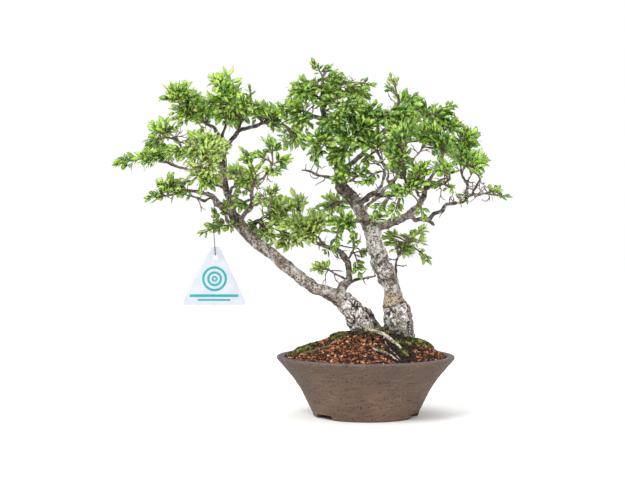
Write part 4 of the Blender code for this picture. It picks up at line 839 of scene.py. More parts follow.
# %% Tufts of leaves
# limb: [(x, height, depth, reach of its shoots), ...]
TUFTS = {
    "left_top_right": [(-84, 316, 30, 15), (-103, 332, 24, 8), (-105, 345, 22, 13), (-122, 348, 18, 14)],
    "left_top_left": [(-203, 343, -28, 14), (-212, 367, -34, 14), (-196, 360, -26, 13), (-186, 347, -20, 13)],
    "left_top_middle": [(-162, 381, 12, 13), (-153, 368, 5, 12), (-158, 364, 6, 12), (-167, 353, 2, 16),
        (-157, 348, 8, 16), (-143, 344, 10, 12), (-173, 346, 6, 9), (-156, 340, 0, 9)],
    "left_top_front": [(-131, 373, -10, 5), (-145, 353, -14, 15), (-122, 347, -8, 12)],
    "left_low_front": [(-203, 255, -46, 4)],
    "left_low_out": [(-237, 252, -42, 9), (-221, 265, -46, 13), (-232, 264, -46, 5), (-208, 266, -36, 4)],
    "left_middle_out": [(-272, 292, 24, 10), (-245, 295, 14, 11), (-243, 294, 10, 11), (-233, 297, 8, 12)],
    "left_high_out": [(-229, 327, 42, 14), (-235, 312, 34, 12), (-221, 327, 30, 10)],
    "left_middle_front": [(-180, 284, -54, 17), (-179, 270, -44, 11), (-174, 305, -48, 14)],
    "left_high_front": [(-176, 309, -38, 16), (-193, 301, -40, 15), (-214, 303, -36, 9)],
    "left_inner_back": [(-132, 268, 66, 11), (-152, 281, 70, 12), (-152, 246, 30, 6)],
    "left_outer_back": [(-188, 317, 62, 12), (-194, 305, 66, 12)],
    "left_inner": [(-131, 279, -37, 10), (-141, 257, -30, 3), (-135, 270, -26, 8), (-140, 244, -26, 8),
        (-135, 299, -36, 7)],
    "left_inner_high": [(-120, 298, -50, 7), (-94, 293, -54, 8), (-108, 310, -50, 9), (-105, 282, -54, 9)],
    "left_inner_front": [(-106, 259, -56, 8), (-119, 249, -60, 6)],
    "left_inner_low": [(-98, 237, -8, 16), (-116, 212, 6, 13), (-130, 220, 4, 8), (-106, 244, 8, 12)],
    "left_under": [(-167, 219, 0, 9), (-181, 213, 2, 4), (-153, 220, -8, 6), (-164, 220, -4, 6), (-158, 241, -14, 7),
        (-169, 232, -8, 3)],
    "middle_trunk": [(-93, 204, 20, 12), (-102, 223, 24, 13), (-80, 206, 18, 11), (-40, 193, 12, 9)],
    "middle_low": [(-52, 171, -13, 9), (-48, 174, -8, 5)],
    "middle_up": [(-13, 204, -12, 7), (-8, 170, -8, 5), (2, 191, 8, 6)],
    "middle_front": [(-61, 215, -16, 14), (-81, 219, -26, 12), (-54, 223, -22, 12), (-60, 210, -18, 9)],
    "middle_back": [(-75, 246, 48, 10), (-73, 229, 44, 11)],
    "right_arm_front": [(87, 282, -50, 12), (94, 263, -46, 3), (81, 270, -42, 4)],
    "right_arm_up": [(86, 311, -34, 13), (70, 324, -32, 14)],
    "right_arm_inner": [(62, 279, -48, 12)],
    "right_reach": [(145, 259, 27, 8), (155, 254, 27, 3), (110, 252, 17, 5)],
    "right_reach_back": [(123, 291, 42, 12), (106, 300, 40, 12), (116, 294, 40, 12)],
    "right_reach_front": [(125, 279, 2, 7)],
    "right_reach_high": [(106, 304, 56, 15), (114, 320, 52, 12)],
    "right_front": [(14, 239, -36, 5), (33, 236, -42, 5), (34, 257, -46, 9), (56, 267, -42, 10), (44, 259, -46, 9),
        (35, 290, -44, 11), (64, 235, -38, 3), (54, 266, -44, 9)],
    "right_front_up": [(6, 313, -34, 15), (1, 272, -36, 7), (3, 296, -34, 5)],
    "right_front_middle": [(33, 297, -56, 12), (34, 320, -54, 12), (50, 331, -50, 8)],
    "right_shoulder": [(31, 386, 40, 3), (27, 375, 38, 3), (46, 360, 34, 13)],
    "right_shoulder_out": [(87, 347, 52, 10), (60, 353, 48, 13), (76, 341, 48, 15), (66, 344, 38, 10),
        (96, 355, 52, 5)],
    "right_shoulder_low": [(98, 332, 60, 12), (97, 330, 46, 11), (75, 336, 62, 15), (91, 318, 58, 8)],
    "right_shoulder_front": [(2, 346, -20, 16), (24, 337, -26, 12), (45, 344, -20, 13)],
    "right_back": [(71, 322, 80, 11), (90, 301, 78, 10)],
    "right_back_inner": [(4, 313, 82, 15), (29, 310, 78, 11)],
    "top_left_front": [(-87, 350, -24, 13), (-72, 339, -24, 13), (-75, 351, -26, 10)],
    "top_left_low": [(-51, 314, -40, 14), (-57, 300, -36, 9)],
    "top_left_high": [(-74, 371, -18, 12), (-66, 367, -24, 12), (-67, 381, -16, 7)],
    "top_front": [(-17, 352, -28, 16), (-38, 334, -30, 14), (-44, 358, -26, 8)],
    "top_back": [(-9, 368, 32, 12), (-34, 376, 24, 15), (-28, 380, 20, 10), (-13, 374, 30, 6), (3, 380, 30, 4)],
    "right_trunk": [(-56, 400, 0, 5), (-44, 395, 5, 6), (-57, 376, -10, 11), (-39, 366, -12, 12), (-34, 387, -6, 8)],
    "top_right_front": [(-7, 332, -30, 14), (-20, 320, -36, 12), (-28, 301, -34, 12)],
    "right_low": [(23, 209, 38, 5), (30, 201, 38, 6), (50, 206, 36, 9), (63, 215, 36, 5), (44, 193, 30, 10),
        (61, 201, 32, 5), (44, 191, 30, 9), (46, 193, 28, 10), (35, 194, 36, 3), (68, 184, 24, 3)],
    "inner_front": [(-28, 222, -30, 13), (-34, 202, -28, 4), (-17, 223, -30, 8), (-25, 216, -26, 4)],
    "inner_back": [(-34, 247, 30, 13), (-54, 228, 38, 13), (-39, 242, 34, 10)],
    "inner_short": [(13, 228, -24, 8)],
    "inner_high": [(-23, 280, -34, 11), (-4, 281, -36, 6), (-31, 274, -34, 5)],
}
print("tufts:", sum(len(tufts) for tufts in TUFTS.values()))

# %% [markdown]
# ## One elm leaf
# An elm leaf is a pointed oval, 10 to 14 mm long here, with a toothed edge, a fold along its middle vein and
# a short stalk. A grid of two columns is enough: its rows are pulled in and out for the outline and its
# teeth, its middle is sunk for the fold, and bridging its two edges underneath closes it, so that it is a
# thin solid and not a sheet of paper.

# %% Leaf shape
LEAF_LENGTH = 0.0142
LEAF_WIDTH = 0.0058
LEAF_THICK = 0.00022
# along the leaf, half width as a share of the widest
LEAF_ROWS = [(0.0, 0.05), (0.12, 0.07), (0.27, 0.56), (0.43, 0.92), (0.50, 0.88), (0.64, 0.99), (0.71, 0.84),
             (0.87, 0.50), (1.0, 0.04)]


def leaf_template():
    """Leaf with its stalk at the origin, its tip along +Y and its face up."""
    shape = bmesh.new()
    layer = shape.loops.layers.uv.new("leaf")
    rows = len(LEAF_ROWS) - 1
    bmesh.ops.create_grid(shape, x_segments=2, y_segments=rows, size=0.5, calc_uvs=True)
    left, right = ([edge for edge in shape.edges if all(vert.co.x * way > 0.4 for vert in edge.verts)]
                   for way in (-1.0, 1.0))
    bmesh.ops.bridge_loops(shape, edges=left + right)
    ends = [edge for edge in shape.edges if edge.is_boundary]
    bmesh.ops.holes_fill(shape, edges=ends, sides=4)
    for face in shape.faces:
        for loop in face.loops:
            loop[layer].uv = (loop.vert.co.x + 0.5, loop.vert.co.y + 0.5)
    for vert in shape.verts:
        along, half = LEAF_ROWS[round((vert.co.y + 0.5) * rows)]
        side = round(vert.co.x * 2.0)
        rise = (0.10 * half * abs(side) + 0.16 * math.sin(along * 2.6)) * LEAF_WIDTH
        vert.co = Vector((side * half * LEAF_WIDTH / 2.0, along * LEAF_LENGTH,
                          rise + (LEAF_THICK if side == 0 else 0.0)))
    bmesh.ops.recalc_face_normals(shape, faces=shape.faces)
    return mesh_from("elm_leaf", shape)


leaf = leaf_template()
print("faces of a leaf:", len(leaf.polygons))

# %% [markdown]
# ## Twigs, shoots and leaves
# Shoots leave the outer half of each twig and fan out evenly: directions spread over a ball by the golden
# angle look natural and leave no bare side. Leaves stand in two ranks along a shoot, as on every elm, and
# turn their faces up and outward to the light. A leaf that would lie in the thick wood is left out.

# %% Tools that grow twigs
rng = random.Random(29)
wood_tree = search_tree(thick_wood)
# a twig leaves the outer part of its limb, and no nearer to its tuft than this
OUTER_FROM = 0.55
TWIG_SHORTEST = 0.013


def jitter(deviation):
    return Vector([rng.gauss(0.0, deviation) for _ in range(3)])


def bend(start, heading, end, count):
    """Points of a quadratic curve that leaves start along heading and ends at end."""
    middle = start + heading * (end - start).length * 0.5
    points = []
    for step in range(count + 1):
        share = step / count
        points.append(start.lerp(middle, share).lerp(middle.lerp(end, share), share))
    return points


def twig_start(route, end):
    """Spot on the outer part of a limb's route from which a twig reaches end, and the way it leaves."""
    outer = route[int(len(route) * OUTER_FROM):, :3]
    away = np.linalg.norm(outer - np.array(end), axis=1)
    away[away < TWIG_SHORTEST] += 1.0
    number = int(np.argmin(away))
    spot = Vector(outer[number])
    along = Vector(outer[number] - outer[max(0, number - 3)] if number else outer[3] - outer[0]).normalized()
    return spot, (along + (end - spot).normalized()).normalized()


def rod_rows(points, thick, thin):
    """Rows for rods() that taper from thick to thin."""
    last = len(points) - 1
    return np.array([(*point, thick + (thin - thick) * number / last) for number, point in enumerate(points)])


def twiglet(start, way, length):
    """Crooked bare twig in four kinks."""
    points = [start]
    for _ in range(4):
        way = (way + jitter(0.34) + Vector((0.0, 0.0, 0.10))).normalized()
        points.append(points[-1] + way * length * rng.uniform(0.17, 0.33))
    return points


# %% Tools that grow leaves
GOLDEN = math.pi * (3.0 - math.sqrt(5.0))
LEAF_PITCH = 0.0038
LEAF_REACH = 0.0050
# leaves stay within the box of the solids and this much more
BOX_MARGIN = 0.004
low_corner = np.array(cad_box[0]) - BOX_MARGIN
high_corner = np.array(cad_box[1]) + BOX_MARGIN


def clear_of_wood(spot):
    found, normal, _, away = wood_tree.find_nearest(spot)
    return away > 0.0006 and (spot - found).dot(normal) > 0.0 or away > 0.02


def leaf_matrix(root, heading, face, size):
    """Turns and moves the leaf's template: its tip along heading, its upper side near face."""
    across = heading.cross(face).normalized()
    turned = Matrix((across, heading, across.cross(heading))).transposed().to_4x4()
    return Matrix.Translation(root) @ turned @ Matrix.Diagonal((size, size, size, 1.0))


def along_points(points, share):
    """Point at a share of the way along points, and the number of the stretch it lies on."""
    run = share * (len(points) - 1)
    index = min(int(run), len(points) - 2)
    return points[index].lerp(points[index + 1], run - index), index


def shoot_leaves(points, outward, tone, largest, leaves, tones):
    """Leaves in two ranks along a shoot, and one at its end."""
    total = sum((b - a).length for a, b in zip(points, points[1:]))
    count = max(3, round(total / LEAF_PITCH))
    # nothing reads this draw: it only keeps the later ones in their order
    rng.random()
    for number in range(count):
        last = number == count - 1
        share = 0.26 + 0.74 * (number + 1) / count
        root, index = along_points(points, share)
        along = (points[index + 1] - points[index]).normalized()
        face = (Vector((0.0, -0.15, 0.65)) + outward * 0.6
                + Vector([rng.uniform(-0.7, 0.7) for _ in range(3)])).normalized()
        side = along.cross(face).normalized() * (1 if number % 2 else -1)
        lean = rng.uniform(0.0, 0.3) if last else math.radians(rng.uniform(34.0, 72.0))
        heading = along * math.cos(lean) + side * math.sin(lean)
        heading = (heading + Vector((0.0, 0.0, rng.uniform(-0.30, 0.40)))).normalized()
        size = largest * rng.uniform(0.66, 1.10) * (0.72 + 0.28 * min(1.0, share * 1.3))
        tip = np.array(root + heading * LEAF_LENGTH * size)
        inside_box = all(low_corner < tip) and all(tip < high_corner)
        if inside_box and clear_of_wood(root + heading * LEAF_LENGTH * 0.5):
            leaves.append(leaf_matrix(root, heading, face, size))
            tones.append(clamp(tone + rng.gauss(0.0, 0.19) + (0.10 if last else 0.0)))


# %% Tool that grows a tuft
TWIG_STEPS = 6
SHOOT_STEPS = 3


def grow_tuft(start, heading, end, reach, tone, axis, leaves, tones, twigs, stalks):
    """A twig to the tuft and its fan of shoots; the leaves end about reach from the tuft's middle."""
    twig = bend(start, heading, end, TWIG_STEPS)
    twigs.append(rod_rows(twig, 0.0010, 0.0006))
    count = max(3, round(reach / MM * (0.88 if end.z > 0.300 else 0.78)))
    turn = rng.uniform(0.0, math.tau)
    out = Vector((end.x - axis.x, end.y - axis.y, 0.0)).normalized()
    for number in range(count):
        root, index = along_points(twig, 0.30 + 0.70 * (number + 0.5) / count)
        rise = 0.9 - 1.5 * (number + 0.5) / count
        flat = math.sqrt(max(0.0, 1.0 - rise * rise))
        round_by = turn + number * GOLDEN
        way = Vector((flat * math.cos(round_by), flat * math.sin(round_by), rise * 0.8))
        way = (way + out * 0.25).normalized()
        tip = end + way * (reach - LEAF_REACH) * rng.uniform(0.70, 1.35)
        if (tip - root).length < 0.009:
            root = twig[max(0, index - 3)]
        shoot = bend(root, ((tip - root).normalized() + Vector((0.0, 0.0, 0.3))).normalized(), tip, SHOOT_STEPS)
        stalks.append(rod_rows(shoot, 0.0006, 0.0003))
        shoot_leaves(shoot, out, tone, 0.70 + 0.30 * min(1.0, reach / 0.011), leaves, tones)


# %% [markdown]
# ## Seven masses of foliage
# The tufts are gathered into masses by the limbs that carry them, so that each piece stays light enough to
# export whole. Each mass is two pieces: its leaves, and the fine stalks that hold them. The leaves get their
# tone by their place, as the light and the age of the shoots give it on the tree. Each tuft has a seed of
# its own, so moving one leaves the others as they are.

# %% Finishes of leaves and stalks
MASSES = {
    "left_top": ("left_top", "left_high", "left_outer"),
    "left_outer": ("left_low", "left_middle", "left_under"),
    "left_inner": ("left_inner",),
    "middle": ("middle", "inner", "right_low"),
    "right_reach": ("right_arm", "right_reach"),
    "right_crown": ("right_front", "right_shoulder", "right_back"),
    "top": ("top", "right_trunk"),
}
# the upright middle lines of the crown's two halves
CROWN_LEFT = POT_AT.x - 0.165
CROWN_RIGHT = POT_AT.x - 0.005


def tone_of(spot):
    """Lime on the left and low down, a deeper green in the upper right crown; the low leaves right of the trunk get a
    lighter tone, a painted fill light for the shade they sit in.
    """
    x = (spot.x - POT_AT.x) / MM
    z = spot.z / MM
    right = clamp((x + 110.0) / 130.0)
    high = clamp((z - 245.0) / 80.0)
    bright = 0.38 if -120.0 < x < -50.0 and z < 246.0 or -205.0 < x < -160.0 and 268.0 < z < 312.0 else 0.0
    # the low leaves right of the trunk sit in shade behind it: their lighter tone is a painted fill light
    if 20.0 < x < 90.0 and z < 226.0:
        bright = 0.12
    return 0.685 + bright - 0.15 * right * high - 0.01 * right + 0.16 * noise.noise(spot * 25.0)


def leaf_recipe(where):
    cloud = (where.noise(400.0, 3.0) - 0.5) * 0.25
    colour = (where.stored("tone") + cloud).ramp(
        (0.0, paint(26, 60, 8)), (0.18, paint(62, 108, 26)), (0.36, paint(100, 150, 62)),
        (0.56, paint(148, 195, 68)), (0.78, paint(178, 221, 80)), (1.0, paint(206, 234, 124)))
    # pale blue-green patches: partly the cooler green of some leaves, partly a painted sheen of the white room on
    # glossy leaves
    cool_and_sheen = where.noise(85.0, 2.0).band(0.50, 0.62) * 0.40
    flat = where.node("UVMap", "UV", {}, uv_map="leaf")
    aside = (flat.axis("X") - 0.5).math("ABSOLUTE")
    vein = aside.band(0.09, 0.02)
    ribs = (flat.axis("Y") * 62.0 - aside * 30.0).math("SINE")
    return covered(colour, (cool_and_sheen, (110, 164, 114)), (vein * 0.4, (196, 216, 120))), vein + ribs * 0.35, 0.00015


elm_leaf = finish("elm_leaf", leaf_recipe, 0.44, Specular_IOR_Level=0.33, Subsurface_Weight=0.12,
                  Subsurface_Scale=0.0012, Subsurface_Radius=(0.7, 1.0, 0.3))
stalk_bark = finish("stalk_bark", two_shades(500.0, (62, 48, 40), (142, 121, 106)), 0.8)

# %% Make the foliage
# shoots rise from the middle of their tuft, so the middle sits lower than the tuft looks
LEAF_LIFT = 4.0
# a tuft that reaches further than this in mm gets a twin in front of it or behind it
TWIN_FROM = 11


def middles_of(x, height, depth, reach):
    """(middle, reach in metres) of a tuft, and of its twin if it has one."""
    height -= LEAF_LIFT
    depth *= SPREAD
    found = [(place(x, height, depth), reach * MM)]
    if reach > TWIN_FROM:
        behind = 1.0 if depth > 0.0 or rng.random() < 0.35 else -1.0
        twin = place(x + rng.uniform(-6, 6), height + rng.uniform(-5, 4), depth + behind * rng.uniform(9, 17))
        found.append((twin, reach * MM * 0.85))
    return found


bare = []
for mass, starts in MASSES.items():
    leaves, tones, twigs, stalks, nodes = [], [], [], [], []
    for limb, tufts in TUFTS.items():
        if not limb.startswith(starts):
            continue
        nodes.append(f"leaves_{limb}")
        tip = Vector(limb_rows[limb][-1][:3])
        axis = Vector((CROWN_LEFT if tip.x < (CROWN_LEFT + CROWN_RIGHT) / 2.0 else CROWN_RIGHT, POT_AT.y, 0.0))
        for number, tuft in enumerate(tufts):
            rng.seed(f"{limb} {number}")
            for middle, size in middles_of(*tuft):
                start, heading = twig_start(routes[limb], middle)
                grow_tuft(start, heading, middle, size, tone_of(middle), axis, leaves, tones, twigs, stalks)
        rng.seed(limb)
        for row in routes[limb][max(14, int(len(routes[limb]) * OUTER_FROM))::3]:
            way = jitter(1.0).normalized()
            for length in (rng.uniform(0.010, 0.022), rng.uniform(0.006, 0.013)):
                points = twiglet(Vector(row[:3]), (way + heading * 0.4).normalized(), length)
                bare.append(rod_rows(points, 0.0008, 0.0003))
                row = points[2]
    mesh = repeated(f"foliage_{mass}", leaf, leaves)
    tell(mesh, "tone", np.repeat(tones, len(leaf.vertices)))
    slot = "leaf_lime" if mass.startswith("left") else "leaf_green"
    add_piece(f"foliage_{mass}", mesh, elm_leaf, slot, *nodes)
    shape = bmesh.new()
    shape.from_mesh(rods("twigs", twigs, 1))
    shape.from_mesh(rods("shoots", stalks, 0))
    add_piece(f"stalks_{mass}", mesh_from(f"stalks_{mass}", shape), stalk_bark, "bark", *nodes)
    print(mass, "leaves:", len(leaves), "shoots:", len(stalks))
for limb in ("bare_twig", "bare_twig_fork", "middle_arm"):
    for row in routes[limb][6::4]:
        way = jitter(1.0).normalized()
        bare.append(rod_rows(twiglet(Vector(row[:3]), way, rng.uniform(0.007, 0.016)), 0.0007, 0.0003))
add_piece("bare_twigs", rods("bare_twigs", bare, 0), stalk_bark, "bark", "tree")
print("bare twigs:", len(bare))

# %% [markdown]
# ## The pot
# The pot was thrown on a wheel, so a spin of its outline makes it. Shallow grooves from the potter's fingers
# run round its wall, coarse clay leaves pits in it, and three arches cut the foot ring into feet. The arches
# are rounded blocks taken away with a boolean, as a potter cuts them out with a wire.

# %% Pot shape
POT_STEPS = 336
OUTLINE_STEP = 1.35
# the lip, whose top is painted grey-blue as a painted sheen, starts at this height, and the grooves lie outside this
# radius
LIP_FROM = 0.0655
WALL_FROM = 0.0595
# (radius, height) in mm, from the foot up the outer wall, over the lip and down inside
POT_OUTLINE = [
    (51.0, 6.0), (51.3, 1.5), (52.0, 0.4), (53.0, 0.0), (57.6, 0.0), (58.6, 0.4), (59.3, 1.2), (60.0, 3.0),
    (60.8, 5.5), (66.5, 17.0), (73.0, 30.0), (82.0, 43.5), (93.0, 56.5), (98.6, 62.8), (100.1, 64.6),
    (100.5, 66.2), (100.2, 67.4), (99.2, 68.0), (93.6, 68.0), (92.5, 67.5), (91.6, 66.0), (80.5, 53.0),
    (68.0, 37.0), (59.0, 23.0), (52.0, 15.5), (49.0, 14.0), (9.6, 14.0), (9.0, 13.4), (9.0, 6.6), (9.6, 6.0)]


def dense_outline(step):
    """The outline with points no further apart than step on its long runs."""
    points = []
    for (r0, z0), (r1, z1) in zip(POT_OUTLINE, POT_OUTLINE[1:] + POT_OUTLINE[:1]):
        count = max(1, round(math.hypot(r1 - r0, z1 - z0) / step)) if r0 > 55.0 else 1
        points += [(r0 + (r1 - r0) * k / count, z0 + (z1 - z0) * k / count) for k in range(count)]
    return points


shape = bmesh.new()
ring = [shape.verts.new((radius * MM, 0.0, height * MM)) for radius, height in dense_outline(OUTLINE_STEP)]
edges = [shape.edges.new(pair) for pair in zip(ring, ring[1:] + ring[:1])]
bmesh.ops.spin(shape, geom=ring + edges, cent=(0, 0, 0), axis=(0, 0, 1), dvec=(0, 0, 0), angle=math.tau,
               steps=POT_STEPS, use_merge=True, use_duplicate=False)
bmesh.ops.remove_doubles(shape, verts=shape.verts, dist=SAME_SPOT)
bmesh.ops.recalc_face_normals(shape, faces=shape.faces)
for vert in shape.verts:
    radius = vert.co.xy.length
    if radius > WALL_FROM and vert.co.z > 0.004:
        out = Vector((vert.co.x / radius, vert.co.y / radius, 0.0))
        turn = math.atan2(vert.co.y, vert.co.x)
        groove = 0.0
        for depth, across, up in ((1.0, 0.5, 420.0), (0.5, 2.5, 1300.0)):
            groove += depth * noise.noise(Vector((math.cos(turn) * across, math.sin(turn) * across, vert.co.z * up)))
        near = noise.voronoi(vert.co * 330.0)[0][0]
        pit = max(0.0, 0.30 - near) / 0.30 * max(0.0, noise.noise(vert.co * 60.0) + 0.35)
        lip = 0.25 if vert.co.z > LIP_FROM else 1.0
        vert.co += out * (groove * 0.10 - pit * 0.9) * MM * lip
pot_mesh = mesh_from("pot", shape)
print("pot corners:", len(pot_mesh.vertices))

# %% Cut the feet
FOOT_TURN = math.radians(7.0)
ARCH_SIZE = (0.030, 0.030, 0.011)
ARCH_ROUND = 0.0044
ARCH_OUT = 0.0585
holder = in_scene("pot_cut", pot_mesh)
tools = bpy.data.collections.new("foot_arches")
scene.collection.children.link(tools)
for number in range(3):
    shape = bmesh.new()
    bmesh.ops.create_cube(shape, size=1.0)
    bmesh.ops.scale(shape, verts=shape.verts, vec=ARCH_SIZE)
    upper = [edge for edge in shape.edges if all(vert.co.z > 0.0 for vert in edge.verts)
             and abs(edge.verts[0].co.y - edge.verts[1].co.y) < SAME_SPOT]
    bmesh.ops.bevel(shape, geom=upper, offset=ARCH_ROUND, segments=8, profile=0.5, affect="EDGES", material=-1)
    bmesh.ops.translate(shape, verts=shape.verts, vec=(ARCH_OUT, 0.0, 0.0))
    turned = Matrix.Rotation(-math.pi / 2.0 + FOOT_TURN + math.pi / 3.0 + number * math.tau / 3.0, 3, "Z")
    bmesh.ops.rotate(shape, verts=shape.verts, cent=(0, 0, 0), matrix=turned)
    tools.objects.link(bpy.data.objects.new(f"arch_{number}", mesh_from("arch", shape)))
cut = holder.modifiers.new("feet", "BOOLEAN")
cut.operation = "DIFFERENCE"
cut.operand_type = "COLLECTION"
cut.collection = tools
cut.solver = "MANIFOLD"
pot_mesh = settled(holder)
for cutter in list(tools.objects):
    bpy.data.objects.remove(cutter)
bpy.data.collections.remove(tools)
pot_mesh.transform(Matrix.Translation(POT_AT))
pot_mesh.shade_smooth()
pot_mesh.set_sharp_from_angle(angle=math.radians(48.0))
print("pot corners with its feet:", len(pot_mesh.vertices))

# %% [markdown]
# ## Stoneware
# Unglazed clay is never one brown. Throwing lines run round it, it is a little darker towards the lip, the
# top of its lip is painted grey-blue as a painted sheen, and its pits and scratches are dark. Sharp round pits
# come from the cells of a Voronoi pattern, because clouds of noise would only give soft stains.

# %% Stoneware finish and the pot


def stoneware_recipe(where):
    stretch = where.node("Mapping", "Vector", {"Vector": where, "Scale": (1.0, 1.0, 6.0)})
    lines = stretch.noise(45.0, 3.0)
    fleck = where.noise(900.0, 3.0)
    colour = (lines * 0.35 + where.noise(16.0, 3.0) * 0.65).ramp(
        (0.34, paint(78, 61, 50)), (0.5, paint(93, 74, 61)), (0.66, paint(113, 90, 74)))
    wobble = where.node("VectorMath", "Vector", {0: where.noise(500.0, 2.0), 1: (0.0012, 0.0012, 0.0012)},
                        operation="MULTIPLY")
    dots = where.node("VectorMath", "Vector", {0: where, 1: wobble}, operation="ADD")
    chosen = dots.voronoi("Color", 240.0).axis("X")
    pits = dots.voronoi("Distance", 240.0).band(0.24, 0.15) * chosen.band(0.40, 0.50)
    dark = pits.math("MAXIMUM", stretch.noise(130.0, 2.0).band(0.64, 0.68) * 0.7)
    height = where.axis("Z")
    # darker towards the top of the wall, and a painted grey-blue sheen on the top of the lip
    colour = covered(colour, (height.band(0.012, 0.060) * 0.36, (70, 57, 48)),
                     (height.band(LIP_FROM, 0.0672) * 0.8, (90, 81, 84)), (dark, (44, 34, 29)),
                     (fleck.band(0.64, 0.70) * 0.4, (176, 158, 138)))
    return colour, (lines + fleck * 0.4) - dark, 0.0005


add_piece("stoneware_pot", pot_mesh, finish("stoneware", stoneware_recipe, 0.72, Specular_IOR_Level=0.35),
          "stoneware", "pot")

# %% [markdown]
# ## Soil of crushed lava and clay
# The soil's solid stays, painted dark as the shade between grains. Over it lie thousands of sharp little
# stones. Four shapes of stone, turned and stretched at random, are enough: nobody can tell that they repeat.

# %% Four stones


def stone_recipe(where):
    colour = where.stored("tone").ramp((0.0, paint(14, 10, 8)), (0.3, paint(62, 33, 19)), (0.52, paint(134, 79, 46)),
                                       (0.78, paint(182, 118, 74)), (1.0, paint(232, 194, 154)))
    grain = where.noise(1500.0, 3.0)
    return covered(colour, (grain.band(0.55, 0.7) * 0.5, (58, 32, 20))), grain, 0.0005


paint_over(soil_mesh, finish("soil_shade", two_shades(600.0, (12, 8, 6), (34, 20, 14)), 0.95))
stones = []
for number in range(4):
    shape = bmesh.new()
    bmesh.ops.create_cube(shape, size=1.5)
    for vert in shape.verts:
        vert.co += noise.noise_vector(vert.co * 1.3 + Vector((number * 7.0, 0.0, 0.0))) * 0.9
    bmesh.ops.triangulate(shape, faces=shape.faces)
    stones.append(mesh_from(f"stone_{number}", shape, False))
print("stones:", len(stones))

# %% Strew the grains
GRAIN_STEP = 0.0024
# rows of a triangular grid lie closer than its points
ROW_STEP = GRAIN_STEP * 0.866
WALL = 0.0905
OVER_SOIL = 0.3


def foot_shade_at(spot):
    """1 in the painted shade between and below the feet of the trunks, 0 on the bare stone."""
    seen = spot - POT_AT
    x = seen.x / MM
    y = seen.y / MM
    between = math.hypot((x - 9.0) / 38.0, (y + 3.0) / 23.0)
    slope = math.hypot((x - 36.0) / 21.0, (y + 42.0) / 44.0)
    edge = min(between, slope) + 0.5 * noise.noise(spot * 90.0)
    return clamp((1.05 - edge) * 3.0)


def tossed():
    """How a stone lies turned and tilted where it fell."""
    turned = Matrix.Rotation(rng.uniform(0, math.tau), 4, "Z")
    tilt = rng.gauss(0.0, 0.5)
    hinge = Vector((rng.gauss(0, 1), rng.gauss(0, 1), 0.1)).normalized()
    return turned @ Matrix.Rotation(tilt, 4, hinge)


placed = [[] for _ in stones]
shade = [[] for _ in stones]
rows = round(WALL / ROW_STEP)
for row in range(-rows, rows + 1):
    for column in range(-rows, rows + 1):
        x = (column + 0.5 * (row % 2)) * GRAIN_STEP + rng.uniform(-0.3, 0.3) * GRAIN_STEP
        y = row * ROW_STEP + rng.uniform(-0.3, 0.3) * GRAIN_STEP
        if math.hypot(x, y) > WALL - 0.001:
            continue
        spot = soil_tree.ray_cast(Vector((x, y, OVER_SOIL)) + POT_AT, DOWN)[0]
        if spot is None:
            continue
        size = rng.uniform(0.85, 1.75) * MM
        stretch = Matrix.Diagonal((size * rng.uniform(0.8, 1.4), size * rng.uniform(0.8, 1.4), size * 0.7, 1.0))
        turned = tossed()
        lift = Vector((0.0, 0.0, rng.uniform(-0.9, 1.1) * MM))
        kind = rng.randrange(len(stones))
        placed[kind].append(Matrix.Translation(spot + lift) @ turned @ stretch)
        # grains between and below the feet of the trunks are darkened: a painted shade
        shade[kind].append(rng.betavariate(1.2, 1.9) * (1.0 - 0.75 * foot_shade_at(spot)))
shape = bmesh.new()
for stone, matrices in zip(stones, placed):
    shape.from_mesh(repeated("stones", stone, matrices, False))
grains = mesh_from("soil_grains", shape, False)
tell(grains, "tone", np.concatenate([np.repeat(tones, len(stone.vertices)) for stone, tones in zip(stones, shade)]))
add_piece("soil_grains", grains, finish("lava_stone", stone_recipe, 0.95), "soil_grain")

# %% [markdown]
# ## Moss
# Moss grows in cushions of tiny pointed shoots. Each packed pad becomes a lumpy cushion with a fur of small
# three-sided spikes that stand out from it, and thin patches of them creep over the stones near the trunks.

# %% Moss cushions
CUSHION_SPIKES = 1000
CUSHION_FUR = 0.0030


def moss_recipe(where):
    small = where.noise(700.0, 3.0)
    colour = (small * 0.4 + where.noise(160.0, 2.0) * 0.6).ramp(
        (0.42, paint(26, 28, 16)), (0.51, paint(60, 68, 28)), (0.57, paint(116, 118, 46)), (0.66, paint(190, 180, 92)))
    return colour, small, 0.0006


moss = finish("moss", moss_recipe, 0.95)
shape = bmesh.new()
bmesh.ops.create_cone(shape, cap_ends=True, segments=3, radius1=0.5, radius2=0.0, depth=1.0)
bmesh.ops.translate(shape, verts=shape.verts, vec=(0.0, 0.0, 0.35))
spike = mesh_from("moss_spike", shape, False)


def spike_matrix(spot, way, wide, tall):
    """Stands the spike at a spot, along a way."""
    turned = way.to_track_quat("Z", "Y").to_matrix().to_4x4()
    return Matrix.Translation(spot) @ turned @ Matrix.Diagonal((tall * wide, tall * wide, tall, 1.0))


def furry(name, base, node):
    """Cushion of the base mesh with spikes spread over its upper faces."""
    rooms = [face for face in base.polygons if face.normal.z > -0.1]
    weights = [face.area for face in rooms]
    matrices = []
    for face in rng.choices(rooms, weights, k=CUSHION_SPIKES):
        shares = [rng.random() + 0.01 for _ in face.vertices]
        spot = sum((base.vertices[index].co * share for index, share in zip(face.vertices, shares)),
                   Vector()) / sum(shares)
        way = face.normal + jitter(0.35)
        matrices.append(spike_matrix(spot, way, 0.4, CUSHION_FUR * rng.uniform(0.6, 1.3)))
    shape = bmesh.new()
    shape.from_mesh(base)
    shape.from_mesh(repeated("spikes", spike, matrices, False))
    add_piece(name, mesh_from(name, shape), moss, "moss_green", node)


